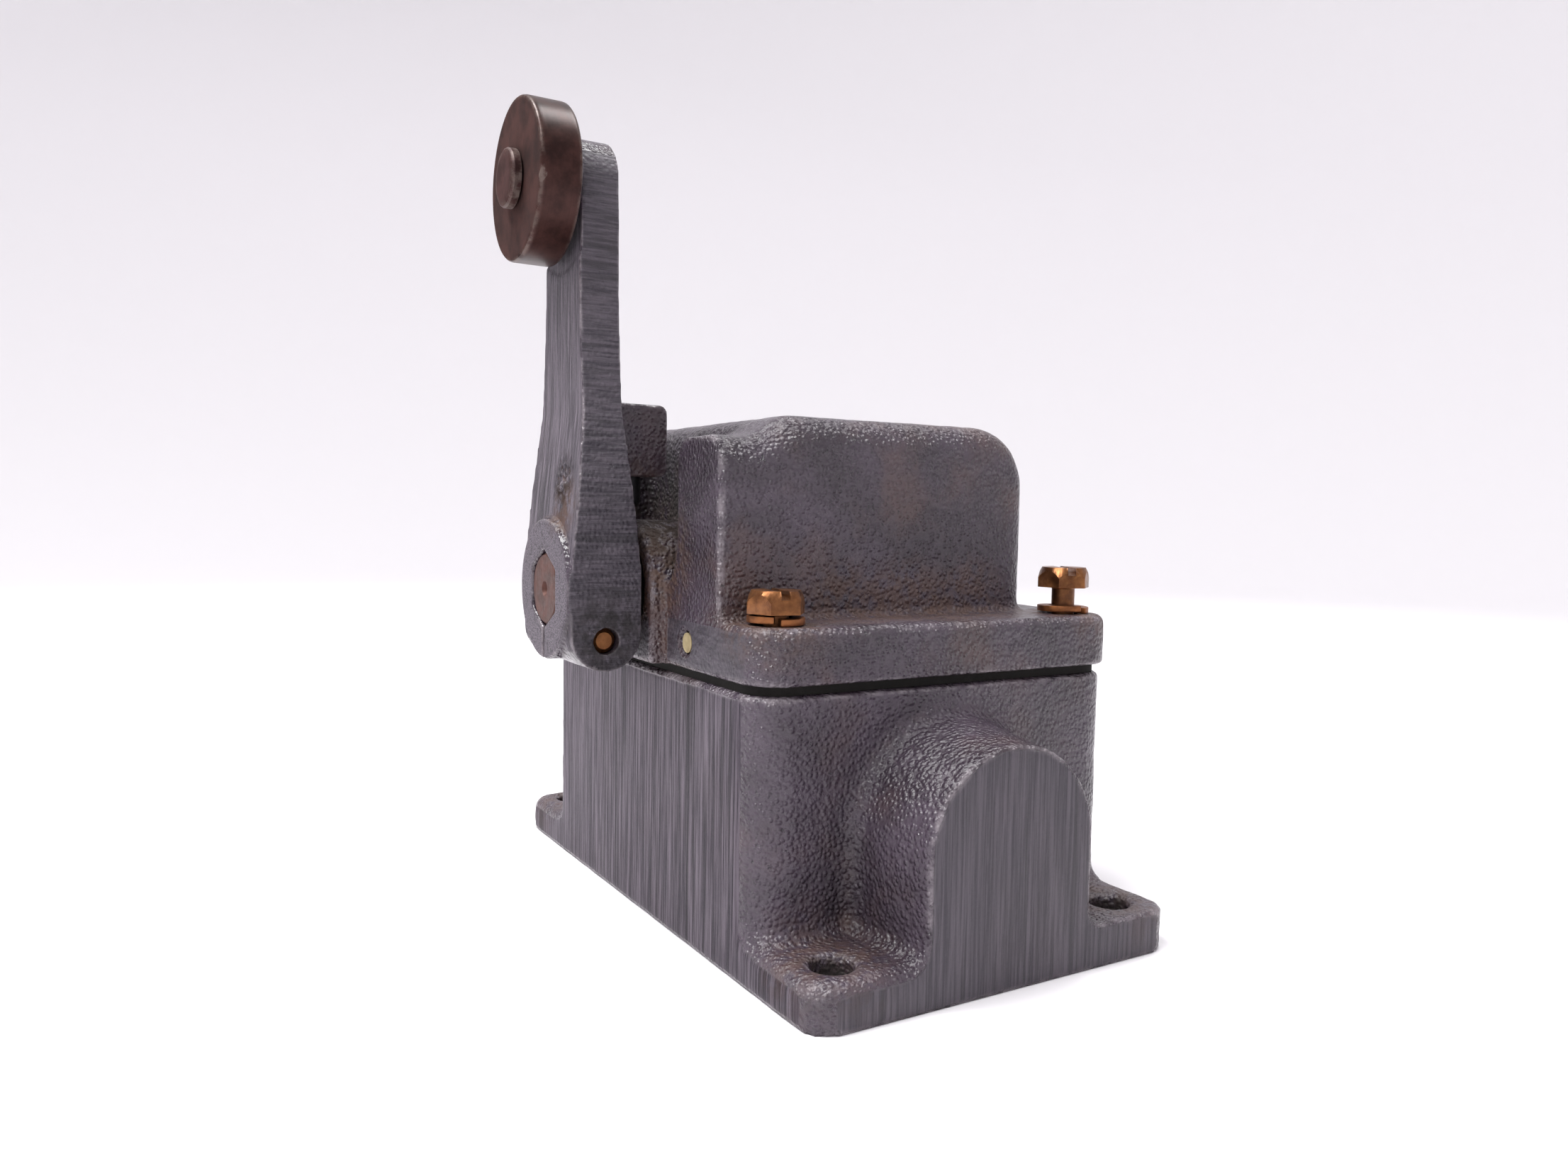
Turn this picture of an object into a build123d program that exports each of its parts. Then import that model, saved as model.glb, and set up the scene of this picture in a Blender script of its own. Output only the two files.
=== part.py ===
from build123d import *
from math import cos, radians, sin
import os

# Heavy-duty roller-lever limit switch: a cast box with a domed cover, a lever with a steel
# roller clamped on a hexagon shaft, and a contact drum between spring fingers inside.
# Millimetres. The origin is the centre of the mounting face. X runs along the shaft, with the
# lever on the -X side, Y runs along the base, and Z points up.

# ---- Base housing ----
BASE_WIDTH = 68.8            # X, over the feet
BASE_LENGTH = 117.0          # Y, over the feet
FOOT_HEIGHT = 7.0
FOOT_CORNER_R = 4.9
FOOT_HOLE_D = 6.35
FOOT_HOLE_INSET_X = 7.4      # hole centre to the side of the foot
FOOT_HOLE_INSET_Y = 7.0      # hole centre to the end of the foot
FOOT_FILLET = 2.5            # foot top up to the end wall and the boss
BOX_LENGTH = 85.0
BOX_OVERHANG = 1.6           # box past the feet on the right side
BOX_HEIGHT = 43.0
BOX_CORNER_R = 6.5
WALL = 4.0
FLOOR = 6.0

# ---- Conduit bosses on the two end walls ----
BOSS_R = 15.6                # at the outer face
BOSS_DRAFT = 1.9             # how much larger the radius is at the wall
BOSS_AXIS_Z = 20.8
BOSS_ROOT_R = 2.9            # boss into the end wall
CONDUIT_BORE_D = 18.6        # tapping size of the 1/2 inch conduit thread

# ---- Cover ----
GASKET_T = 1.3
GASKET_INSET = 1.0
FLANGE_T = 8.5
FLANGE_OVERHANG = 0.7        # past the box on the right side
FLANGE_OVERHANG_END = 0.3    # past the box at its ends
FLANGE_EDGE_R = 1.3
DOME_HALF_Y = 30.3
DOME_RIGHT_X = 27.0
DOME_HEIGHT = 31.8           # above the flange
DOME_EDGE_R = 4.5
DOME_SHOULDER_R = 10.5
DOME_FOOT_R = 1.2
COVER_WALL = 3.0
RECESS_DEPTH = 9.4           # from the left face in to the recess wall
RECESS_HALF_Y = 15.3
EAR_DROP = 3.6               # ear top below the dome top
EAR_FLAT = 4.5               # length of the level part of the ear top
EAR_RISE = 10.0              # length over which the ear top rises to the dome top
EAR_EDGE_R = 3.2

# ---- Shaft bearing ----
SHAFT_Z = 56.2
SHAFT_BOSS_R = 11.6
SHAFT_BOSS_PROUD = 2.7       # past the left face
HEX_AF = 11.11               # 7/16 inch across flats
HEX_CLEARANCE = 0.08
JOURNAL_D = 9.5
RUNNING_CLEARANCE = 0.05     # radial
BUSH_OD = 13.0
BUSH_LENGTH = 11.0
END_BUSH_LENGTH = 6.0
END_BEARING_R = 8.5
SEAL_OD = 16.6
SEAL_T = 2.4
SEAL_SETBACK = 0.6
THRUST_WASHER_T = 1.15
THRUST_WASHER_OD = 16.0
THRUST_GAP = 0.35
RING_OD = 13.6
RING_T = 1.0
RING_GROOVE_DEPTH = 0.8
RING_GAP = 0.4               # ring to the cover wall
DRIVER_GAP = 0.6             # ring to the spring driver
END_BUSH_SETBACK = 1.0       # bush end inside the end wall
SHAFT_END_GAP = 0.5
SHAFT_END_SETBACK = 0.3      # hexagon end inside the hub face
CENTRE_HOLE_D = 2.6          # lathe centre in the end of the hexagon
CENTRE_HOLE_DEPTH = 1.6

# ---- Lever ----
LEVER_RADIUS = 65.0          # shaft axis to roller axis
LEVER_T = 6.7
LEVER_TIP_R = 7.8
LEVER_WAIST_HALF = 9.6       # half width at the waist
LEVER_WAIST_UP = 30.0        # waist above the shaft axis
LEVER_SQUARE_UP = 10.8       # the sides stay straight up to here, above the shaft axis
HUB_R = 11.6
HUB_T = 12.6
HUB_PROUD = 0.6              # hub face past the clamp lug
HUB_FILLET = 0.5
LEVER_SETBACK = 2.5          # arm face back from the clamp lug face
FLARE_START = 3.0            # where the lever starts to thin, above the shaft axis
FLARE_END = 29.0             # where it has its full thinness
LUG_DROP = 6.7               # clamp lug centre below the shaft axis
CLAMP_SLOT = 0.8
CLAMP_SCREW_DROP = 7.8       # clamp screw axis below the shaft axis
STOP_LUG_BOTTOM = 18.7       # above the shaft axis
STOP_LUG_TOP = 30.8
STOP_LUG_HALF_Y = 4.0
STOP_LUG_REACH = 10.6        # from the lever's inner face
STOP_LUG_EDGE_R = 1.4
STOP_PIN_D = 3.0
STOP_PIN_HANG = 5.1
STOP_PIN_GRIP = 3.6
STOP_PIN_SETBACK = 4.9       # pin axis from the end of the lug
SPOTFACE_R = 14.0
SPOTFACE_DEPTH = 0.3

# ---- Roller ----
ROLLER_D = 25.4
ROLLER_W = 6.7
ROLLER_CHAMFER = 0.45
ROLLER_WASHER_OD = 12.0
ROLLER_WASHER_T = 1.15
ROLLER_SIDE_GAP = 0.25
ROLLER_PIN_D = 6.35
ROLLER_PIN_HEAD_D = 9.2
ROLLER_PIN_HEAD_T = 1.7
ROLLER_PIN_TAIL_D = 8.4
ROLLER_PIN_TAIL_T = 0.8

# ---- Screws ----
SCREW_D = 4.8                # number 10
SCREW_NECK_D = 3.9
SCREW_HEAD_AF = 7.94
SCREW_HEAD_T = 3.45
SCREW_SLOT_W = 1.4
SCREW_SLOT_DEPTH = 1.3
SCREW_THREAD_LENGTH = 11.0
SCREW_SPACING_X = 57.8
SCREW_SPACING_Y = 71.6
SCREW_CLEARANCE = 0.1        # radial, in a hole
SCREW_PILLAR_R = 6.0
SCREW_LIFTS = (0.2, 2.95, 0.0, 0.0)  # front left, front right, rear left, rear right
LOCK_WASHER_OD = 8.7
LOCK_WASHER_T = 1.5
LOCK_WASHER_GAP = 0.9
CLAMP_SCREW_D = 4.1
CLAMP_HEAD_AF = 6.4
CLAMP_HEAD_T = 2.8
CLAMP_TIP_RECESS = 1.2
SMALL_SCREW_D = 3.5
SMALL_SCREW_HEAD_D = 6.2
SMALL_SCREW_HEAD_T = 2.3

# ---- Return spring ----
ANCHOR_PIN_D = 3.2
ANCHOR_PIN_Y = 18.6
ANCHOR_PIN_DROP = 7.7        # below the shaft axis
ANCHOR_PIN_REACH = 13.0      # into the cavity
ANCHOR_PIN_SETBACK = 0.5     # pin end inside the mouth of its hole
ANCHOR_HOLE_MOUTH_D = 4.2
ANCHOR_HOLE_MOUTH_DEPTH = 1.2
SPRING_WIRE_D = 1.6
SPRING_TURNS = 3
SPRING_PITCH = 2.1
SPRING_SEAT = 0.15           # leg to anchor pin
SPRING_SIDE_GAP = 0.4
SPRING_LEG_PAST = 3.5        # leg end past its anchor pin
DRIVER_T = 2.4
DRIVER_HUB_R = 8.0
DRIVER_HUB_LENGTH = 12.6
DRIVER_ARM_R = 17.4
DRIVER_PEG_D = 2.6
DRIVER_PEG_Y = 13.6
DRIVER_PEG_REACH = 10.5
DRIVER_PEG_GAP = 0.3         # peg to spring leg
CROSS_PIN_D = 2.4

# ---- Contacts ----
DRUM_R = 12.0
DRUM_LENGTH = 20.0
DRUM_START_X = -4.5
SEGMENT_T = 1.0
SEGMENT_W = 6.0
SEGMENT_SPACING = 12.0
SEGMENT_ARCS = ((170.0, 370.0), (14.0, 208.0))   # start and end angle of each copper segment
FINGER_W = 5.0
FINGER_T = 0.9
FINGER_GAP = 0.35            # contact tip to segment
FINGER_TIP_T = 0.9
FINGER_TIP_D = 3.8
FINGER_FOOT = 9.5
BLOCK_HEIGHT = 14.0
BLOCK_HALF_Y = 26.0
BLOCK_MARGIN_X = 9.5         # block end past the finger centres
BARRIER_T = 2.0
BARRIER_H = 9.0
TERMINAL_PLATE = 6.4
TERMINAL_PLATE_T = 1.2
BLOCK_SCREW_D = 4.1
BLOCK_SCREW_HEAD_D = 7.4
BLOCK_SCREW_HEAD_T = 2.6
BLOCK_SCREW_BITE = 4.5

# ---- Places worked out from the sizes above ----
LEFT_X = -BASE_WIDTH / 2
RIGHT_X = BASE_WIDTH / 2 + BOX_OVERHANG
FOOT_HOLE_X = BASE_WIDTH / 2 - FOOT_HOLE_INSET_X
FOOT_HOLE_Y = BASE_LENGTH / 2 - FOOT_HOLE_INSET_Y
FLANGE_BOTTOM = BOX_HEIGHT + GASKET_T
FLANGE_TOP = FLANGE_BOTTOM + FLANGE_T
FLANGE_RIGHT_X = RIGHT_X + FLANGE_OVERHANG
FLANGE_HALF_Y = BOX_LENGTH / 2 + FLANGE_OVERHANG_END
DOME_TOP = FLANGE_TOP + DOME_HEIGHT
EAR_TOP = DOME_TOP - EAR_DROP
RECESS_X = LEFT_X + RECESS_DEPTH
CAVITY_LEFT_X = RECESS_X + COVER_WALL
CAVITY_RIGHT_X = DOME_RIGHT_X - COVER_WALL
CAVITY_HALF_Y = DOME_HALF_Y - COVER_WALL
CAVITY_TOP = DOME_TOP - COVER_WALL
BOSS_FACE_X = LEFT_X - SHAFT_BOSS_PROUD
HEX_END_X = BOSS_FACE_X - THRUST_GAP - THRUST_WASHER_T
LEVER_HUB_INNER_X = HEX_END_X
HUB_FACE_X = LEVER_HUB_INNER_X - HUB_T
LUG_OUTER_X = HUB_FACE_X + HUB_PROUD
LUG_R = (LEVER_HUB_INNER_X - LUG_OUTER_X) / 2
LUG_X = (LEVER_HUB_INNER_X + LUG_OUTER_X) / 2
LEVER_OUTER_X = LUG_OUTER_X + LEVER_SETBACK
LEVER_INNER_X = LEVER_OUTER_X + LEVER_T
ROLLER_Z = SHAFT_Z + LEVER_RADIUS
SPOTFACE_X = LEVER_OUTER_X + SPOTFACE_DEPTH
ROLLER_INNER_X = SPOTFACE_X - ROLLER_WASHER_T - ROLLER_SIDE_GAP
ROLLER_OUTER_X = ROLLER_INNER_X - ROLLER_W
PIN_HEAD_INNER_X = ROLLER_OUTER_X - ROLLER_SIDE_GAP
SHAFT_END_X = HUB_FACE_X + SHAFT_END_SETBACK
JOURNAL_END_X = CAVITY_RIGHT_X - END_BUSH_SETBACK - SHAFT_END_GAP
JOURNAL_R = JOURNAL_D / 2
ANCHOR_PIN_Z = SHAFT_Z - ANCHOR_PIN_DROP
SPRING_LEG_Z = ANCHOR_PIN_Z - ANCHOR_PIN_D / 2 - SPRING_SEAT - SPRING_WIRE_D / 2
SPRING_R = SHAFT_Z - SPRING_LEG_Z
RING_X = CAVITY_LEFT_X + RING_GAP
DRIVER_X = RING_X + RING_T + DRIVER_GAP
SPRING_X = DRIVER_X + DRIVER_T + SPRING_WIRE_D / 2 + SPRING_SIDE_GAP
DRIVER_PEG_Z = SPRING_LEG_Z + SPRING_WIRE_D / 2 + DRIVER_PEG_GAP + DRIVER_PEG_D / 2
DRIVER_PIN_X = DRIVER_X + DRIVER_T + DRIVER_HUB_LENGTH - CROSS_PIN_D
DRUM_PIN_X = DRUM_START_X + DRUM_LENGTH / 2
DRUM_END_X = DRUM_START_X + DRUM_LENGTH
SEGMENT_XS = [DRUM_START_X + DRUM_LENGTH / 2 + s * SEGMENT_SPACING / 2 for s in (-1, 1)]
SEGMENT_R = DRUM_R + SEGMENT_T
FINGER_TIP_Y = SEGMENT_R + FINGER_GAP
FINGER_Y = FINGER_TIP_Y + FINGER_TIP_T
BLOCK_TOP = FLOOR + BLOCK_HEIGHT
BLOCK_X0 = SEGMENT_XS[0] - BLOCK_MARGIN_X
BLOCK_X1 = SEGMENT_XS[1] + BLOCK_MARGIN_X
TERMINAL_Y = FINGER_Y + FINGER_T + FINGER_FOOT / 2
BLOCK_SCREW_XS = (BLOCK_X0 + 5.0, BLOCK_X1 - 5.0)
FLANGE_CENTRE_X = (LEFT_X + FLANGE_RIGHT_X) / 2
SCREW_PLACES = [(FLANGE_CENTRE_X + sx * SCREW_SPACING_X / 2, sy * SCREW_SPACING_Y / 2)
                for sy in (-1, 1) for sx in (-1, 1)]
ENDS = (-1, 1)


# ---- Small helpers ----
def block(x0, x1, y0, y1, z0, z1):
    return Pos((x0 + x1) / 2, (y0 + y1) / 2, (z0 + z1) / 2) * Box(x1 - x0, y1 - y0, z1 - z0)


def rounded_block(x0, x1, half_y, z0, z1, radius):
    outline = RectangleRounded(x1 - x0, 2 * half_y, radius)
    return extrude(Pos((x0 + x1) / 2, 0, z0) * outline, z1 - z0)


def bar_x(x0, x1, y, z, radius):
    return Pos((x0 + x1) / 2, y, z) * Rot(0, 90, 0) * Cylinder(radius, x1 - x0)


def bar_y(x, y0, y1, z, radius):
    return Pos(x, (y0 + y1) / 2, z) * Rot(90, 0, 0) * Cylinder(radius, y1 - y0)


def bar_z(x, y, z0, z1, radius):
    return Pos(x, y, (z0 + z1) / 2) * Cylinder(radius, z1 - z0)


def hex_bar_x(x0, x1, z, across_flats):
    outline = RegularPolygon(across_flats / 2, 6, major_radius=False, rotation=90)
    return extrude(Plane.YZ.offset(x0) * Pos(0, z) * outline, x1 - x0)


def slab_between(outline, x0, x1):
    """A YZ outline as a slab from x0 to x1."""
    return extrude(Plane.YZ.offset(x0) * outline, x1 - x0)


def arch_face(radius, axis_z, bottom_z):
    """An arch: a half disc on vertical sides that run down to bottom_z."""
    top = Line((-radius, bottom_z), (-radius, axis_z))
    arc = ThreePointArc((-radius, axis_z), (0, axis_z + radius), (radius, axis_z))
    side = Line((radius, axis_z), (radius, bottom_z))
    return make_face([top, arc, side, Line((radius, bottom_z), (-radius, bottom_z))])


def slotted_hex_head(across_flats, height, slot_width, slot_depth):
    """A hexagon head on z = 0, washer-chamfered on top, with a screwdriver slot."""
    head = extrude(RegularPolygon(across_flats / 2, 6, major_radius=False), height)
    top_r = across_flats / 2
    cone = Pos(0, 0, height / 2) * Cone(top_r + height * 1.7, top_r * 0.98, height)
    head = head & cone
    slot = Pos(0, 0, height) * Box(across_flats * 1.3, slot_width, 2 * slot_depth)
    return head - slot


# ---- Base body ----
def conduit_boss(end):
    wall_y = BOX_LENGTH / 2 - WALL / 2
    face_y = BASE_LENGTH / 2
    draft = BOSS_DRAFT * (face_y - wall_y) / (face_y - BOX_LENGTH / 2)
    outer = Plane.XZ.offset(-end * face_y) * arch_face(BOSS_R, BOSS_AXIS_Z, 0)
    root = Plane.XZ.offset(-end * wall_y) * arch_face(BOSS_R + draft, BOSS_AXIS_Z, 0)
    return loft([root, outer])


def base_housing():
    feet = rounded_block(LEFT_X, -LEFT_X, BASE_LENGTH / 2, 0, FOOT_HEIGHT, FOOT_CORNER_R)
    box = rounded_block(LEFT_X, RIGHT_X, BOX_LENGTH / 2, 0, BOX_HEIGHT, BOX_CORNER_R)
    body = feet + box
    for end in ENDS:
        body += conduit_boss(end)
    wall_y = BOX_LENGTH / 2
    near_boss = BOSS_R + BOSS_DRAFT + 1
    boss_roots = [e for e in body.edges() if abs(abs(e.center().Y) - wall_y) < 0.05
                  and abs(e.center().X) < near_boss and FOOT_HEIGHT + 0.5 < e.center().Z < BOX_HEIGHT - 1]
    body = fillet(boss_roots, BOSS_ROOT_R)
    foot_tops = [e for e in body.edges() if abs(e.center().Z - FOOT_HEIGHT) < 0.01
                 and (abs(abs(e.center().Y) - wall_y) < BOSS_ROOT_R
                      or (abs(e.center().X) < near_boss and abs(e.center().Y) < BASE_LENGTH / 2 - 1))]
    body = fillet(foot_tops, min(FOOT_FILLET, BOSS_ROOT_R - 0.2))
    cavity = rounded_block(LEFT_X + WALL, RIGHT_X - WALL, BOX_LENGTH / 2 - WALL,
                           FLOOR, BOX_HEIGHT + 1, BOX_CORNER_R - WALL + 1)
    for x, y in SCREW_PLACES:
        cavity -= bar_z(x, y, 0, BOX_HEIGHT + 2, SCREW_PILLAR_R)
    body -= cavity
    for x, y in SCREW_PLACES:
        body -= bar_z(x, y, BOX_HEIGHT - SCREW_THREAD_LENGTH - 6, BOX_HEIGHT + 1,
                      SCREW_D / 2 + SCREW_CLEARANCE)
    for sx in ENDS:
        for sy in ENDS:
            body -= bar_z(sx * FOOT_HOLE_X, sy * FOOT_HOLE_Y, -1, FOOT_HEIGHT + 8, FOOT_HOLE_D / 2)
    body -= bar_y(0, BOX_LENGTH / 2 - WALL - 2, BASE_LENGTH / 2 + 1, BOSS_AXIS_Z, CONDUIT_BORE_D / 2)
    for x in BLOCK_SCREW_XS:
        body -= bar_z(x, 0, FLOOR - BLOCK_SCREW_BITE - 0.4, FLOOR + 1, BLOCK_SCREW_D / 2 + 0.1)
    return body


def cover_gasket():
    sheet = rounded_block(LEFT_X + GASKET_INSET, RIGHT_X - GASKET_INSET, BOX_LENGTH / 2 - GASKET_INSET,
                          BOX_HEIGHT, FLANGE_BOTTOM, BOX_CORNER_R - GASKET_INSET)
    window = rounded_block(LEFT_X + WALL, RIGHT_X - WALL, BOX_LENGTH / 2 - WALL,
                           BOX_HEIGHT - 1, FLANGE_BOTTOM + 1, BOX_CORNER_R - WALL + 1)
    for x, y in SCREW_PLACES:
        window -= bar_z(x, y, BOX_HEIGHT - 2, FLANGE_BOTTOM + 2, SCREW_PILLAR_R)
    sheet -= window
    for x, y in SCREW_PLACES:
        sheet -= bar_z(x, y, BOX_HEIGHT - 1, FLANGE_BOTTOM + 1, SCREW_D / 2 + SCREW_CLEARANCE)
    return sheet


def dome_profile():
    """The dome seen along Y: ear top, rise to the dome top, round right shoulder."""
    ear_end = LEFT_X + EAR_FLAT
    rise_end = ear_end + EAR_RISE
    middle = ((ear_end + rise_end) / 2, (EAR_TOP + DOME_TOP) / 2)
    shoulder = (DOME_RIGHT_X - DOME_SHOULDER_R, DOME_TOP)
    rise = Spline((ear_end, EAR_TOP), middle, (rise_end, DOME_TOP), tangents=[(1, 0), (1, 0)])
    arc = RadiusArc(shoulder, (DOME_RIGHT_X, DOME_TOP - DOME_SHOULDER_R), DOME_SHOULDER_R)
    sides = [
        Line((LEFT_X, FLANGE_TOP - 2), (LEFT_X, EAR_TOP)),
        Line((LEFT_X, EAR_TOP), (ear_end, EAR_TOP)),
        rise,
        Line((rise_end, DOME_TOP), shoulder),
        arc,
        Line((DOME_RIGHT_X, DOME_TOP - DOME_SHOULDER_R), (DOME_RIGHT_X, FLANGE_TOP - 2)),
        Line((DOME_RIGHT_X, FLANGE_TOP - 2), (LEFT_X, FLANGE_TOP - 2)),
    ]
    return make_face(sides)


def recess_outline():
    """The pocket between the ears, narrowing on to the sides of the shaft boss."""
    low_z = SHAFT_Z + 0.7
    high_z = SHAFT_Z + 9.7
    low_y = SHAFT_BOSS_R + 0.05
    top_z = DOME_TOP + 6
    bulge_y = (low_y + RECESS_HALF_Y) / 2 + 0.75
    bulge_z = (low_z + high_z) / 2 - 0.3
    right = ThreePointArc((low_y, low_z), (bulge_y, bulge_z), (RECESS_HALF_Y, high_z))
    left = ThreePointArc((-RECESS_HALF_Y, high_z), (-bulge_y, bulge_z), (-low_y, low_z))
    return make_face([
        Line((-low_y, low_z), (low_y, low_z)), right,
        Line((RECESS_HALF_Y, high_z), (RECESS_HALF_Y, top_z)),
        Line((RECESS_HALF_Y, top_z), (-RECESS_HALF_Y, top_z)),
        Line((-RECESS_HALF_Y, top_z), (-RECESS_HALF_Y, high_z)), left])


def top_cover():
    dome = extrude(Plane.XZ.offset(-DOME_HALF_Y) * dome_profile(), 2 * DOME_HALF_Y)
    rims = [e for e in dome.edges() if abs(abs(e.center().Y) - DOME_HALF_Y) < 0.01
            and e.center().Z > FLANGE_TOP and e.center().X > LEFT_X + 0.1]
    dome = fillet(rims, DOME_EDGE_R)
    recess = slab_between(recess_outline(), LEFT_X - 1, RECESS_X)
    dome -= recess
    ear_rims = [e for e in dome.edges() if abs(abs(e.center().Y) - RECESS_HALF_Y) < 0.01
                and e.center().Z > EAR_TOP - 0.1 and e.center().X < RECESS_X]
    recess_rims = [e for e in dome.edges() if abs(e.center().X - RECESS_X) < 0.01
                   and abs(e.center().Y) < 1 and e.center().Z > EAR_TOP]
    dome = fillet(ear_rims + recess_rims, EAR_EDGE_R)
    flange = rounded_block(LEFT_X, FLANGE_RIGHT_X, FLANGE_HALF_Y, FLANGE_BOTTOM, FLANGE_TOP, BOX_CORNER_R)
    upper_rim = [e for e in flange.edges()
                 if e.center().Z > FLANGE_TOP - 0.01 and e.center().X > LEFT_X + 0.1]
    flange = fillet(upper_rim, FLANGE_EDGE_R)
    body = flange + dome
    dome_foot = [e for e in body.edges() if abs(e.center().Z - FLANGE_TOP) < 0.01
                 and abs(e.center().Y) < DOME_HALF_Y + 0.05 and e.center().X < DOME_RIGHT_X + 0.05]
    body = fillet(dome_foot, DOME_FOOT_R)
    body += slab_between(arch_face(SHAFT_BOSS_R, SHAFT_Z, FLANGE_BOTTOM), BOSS_FACE_X, CAVITY_LEFT_X)
    cavity = block(CAVITY_LEFT_X, CAVITY_RIGHT_X, -CAVITY_HALF_Y, CAVITY_HALF_Y,
                   FLANGE_BOTTOM - 1, CAVITY_TOP)
    cavity = fillet(cavity.edges().filter_by(Axis.X), 2.0)
    bearing_x = CAVITY_RIGHT_X - END_BUSH_LENGTH - END_BUSH_SETBACK
    cavity -= bar_x(bearing_x, CAVITY_RIGHT_X + 1, 0, SHAFT_Z, END_BEARING_R)
    body -= cavity
    body -= bar_x(BOSS_FACE_X - 1, CAVITY_LEFT_X + 1, 0, SHAFT_Z, BUSH_OD / 2)
    body -= bar_x(BOSS_FACE_X - 1, BOSS_FACE_X + SEAL_SETBACK + SEAL_T, 0, SHAFT_Z, SEAL_OD / 2)
    body -= bar_x(bearing_x - 1, CAVITY_RIGHT_X - END_BUSH_SETBACK, 0, SHAFT_Z, BUSH_OD / 2)
    for x, y in SCREW_PLACES:
        body -= bar_z(x, y, FLANGE_BOTTOM - 1, FLANGE_TOP + 1, SCREW_D / 2 + SCREW_CLEARANCE)
    for side in ENDS:
        body -= bar_x(LEFT_X - 1, CAVITY_LEFT_X + 1, side * ANCHOR_PIN_Y, ANCHOR_PIN_Z, ANCHOR_PIN_D / 2)
        body -= bar_x(LEFT_X - 1, LEFT_X + ANCHOR_HOLE_MOUTH_DEPTH, side * ANCHOR_PIN_Y, ANCHOR_PIN_Z,
                      ANCHOR_HOLE_MOUTH_D / 2)
    return body


def cover_screws():
    screws = []
    for (x, y), lift in zip(SCREW_PLACES, SCREW_LIFTS):
        seat = FLANGE_TOP + LOCK_WASHER_T + lift
        head = slotted_hex_head(SCREW_HEAD_AF, SCREW_HEAD_T, SCREW_SLOT_W, SCREW_SLOT_DEPTH)
        neck_length = FLANGE_T + LOCK_WASHER_T
        neck = bar_z(0, 0, -neck_length, 0.5, SCREW_NECK_D / 2)
        thread = bar_z(0, 0, -neck_length - SCREW_THREAD_LENGTH, -neck_length, SCREW_D / 2)
        thread = chamfer(thread.edges().sort_by(Axis.Z)[0], 0.6)
        screws.append(Pos(x, y, seat) * Rot(0, 0, 25 * x / abs(x)) * (head + neck + thread))
    return screws


def lock_washer(inner_d, outer_d, thickness, gap):
    """A single-coil spring washer on z = 0, with its ends a little apart in height."""
    ring = bar_z(0, 0, 0, thickness, outer_d / 2) - bar_z(0, 0, -1, thickness + 1, inner_d / 2)
    cut = Pos(outer_d / 2, 0, thickness / 2) * Rot(25, 0, 0) * Box(outer_d, gap, 3 * thickness)
    return ring - cut


def cover_lock_washers():
    bore = SCREW_D + 2 * SCREW_CLEARANCE
    turns = (-110, -75, 40, 160)
    washer = lock_washer(bore, LOCK_WASHER_OD, LOCK_WASHER_T, LOCK_WASHER_GAP)
    return [Pos(x, y, FLANGE_TOP) * Rot(0, 0, turn) * washer for (x, y), turn in zip(SCREW_PLACES, turns)]


def shaft_bush():
    tube = bar_x(CAVITY_LEFT_X - BUSH_LENGTH, CAVITY_LEFT_X, 0, SHAFT_Z, BUSH_OD / 2)
    return tube - bar_x(BOSS_FACE_X, CAVITY_LEFT_X + 1, 0, SHAFT_Z, JOURNAL_R + RUNNING_CLEARANCE)


def end_bush():
    end_x = CAVITY_RIGHT_X - END_BUSH_SETBACK
    tube = bar_x(end_x - END_BUSH_LENGTH, end_x, 0, SHAFT_Z, BUSH_OD / 2)
    return tube - bar_x(end_x - END_BUSH_LENGTH - 1, end_x + 1, 0, SHAFT_Z, JOURNAL_R + RUNNING_CLEARANCE)


def shaft_seal():
    start = BOSS_FACE_X + SEAL_SETBACK
    ring = bar_x(start, start + SEAL_T, 0, SHAFT_Z, SEAL_OD / 2)
    return ring - bar_x(start - 1, start + SEAL_T + 1, 0, SHAFT_Z, JOURNAL_R + 2 * RUNNING_CLEARANCE)


def spring_anchor_pins():
    end_x = CAVITY_LEFT_X + ANCHOR_PIN_REACH
    start_x = LEFT_X + ANCHOR_PIN_SETBACK
    return [bar_x(start_x, end_x, side * ANCHOR_PIN_Y, ANCHOR_PIN_Z, ANCHOR_PIN_D / 2) for side in ENDS]


def return_spring():
    """A centring torsion spring: three turns round the driver hub and a leg under each anchor pin."""
    length = SPRING_TURNS * SPRING_PITCH
    wire_r = SPRING_WIRE_D / 2
    leg = ANCHOR_PIN_Y + SPRING_LEG_PAST
    path = Helix(SPRING_PITCH, length, SPRING_R)
    wound = sweep(Plane(path @ 0, z_dir=path % 0) * Circle(wire_r), path=path, is_frenet=True)
    wound = Pos(SPRING_X, 0, SHAFT_Z) * Rot(0, 90, 0) * wound
    near = bar_y(SPRING_X, 0, leg, SPRING_LEG_Z, wire_r)
    far = bar_y(SPRING_X + length, -leg, 0, SPRING_LEG_Z, wire_r)
    return wound + near + far


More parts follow.
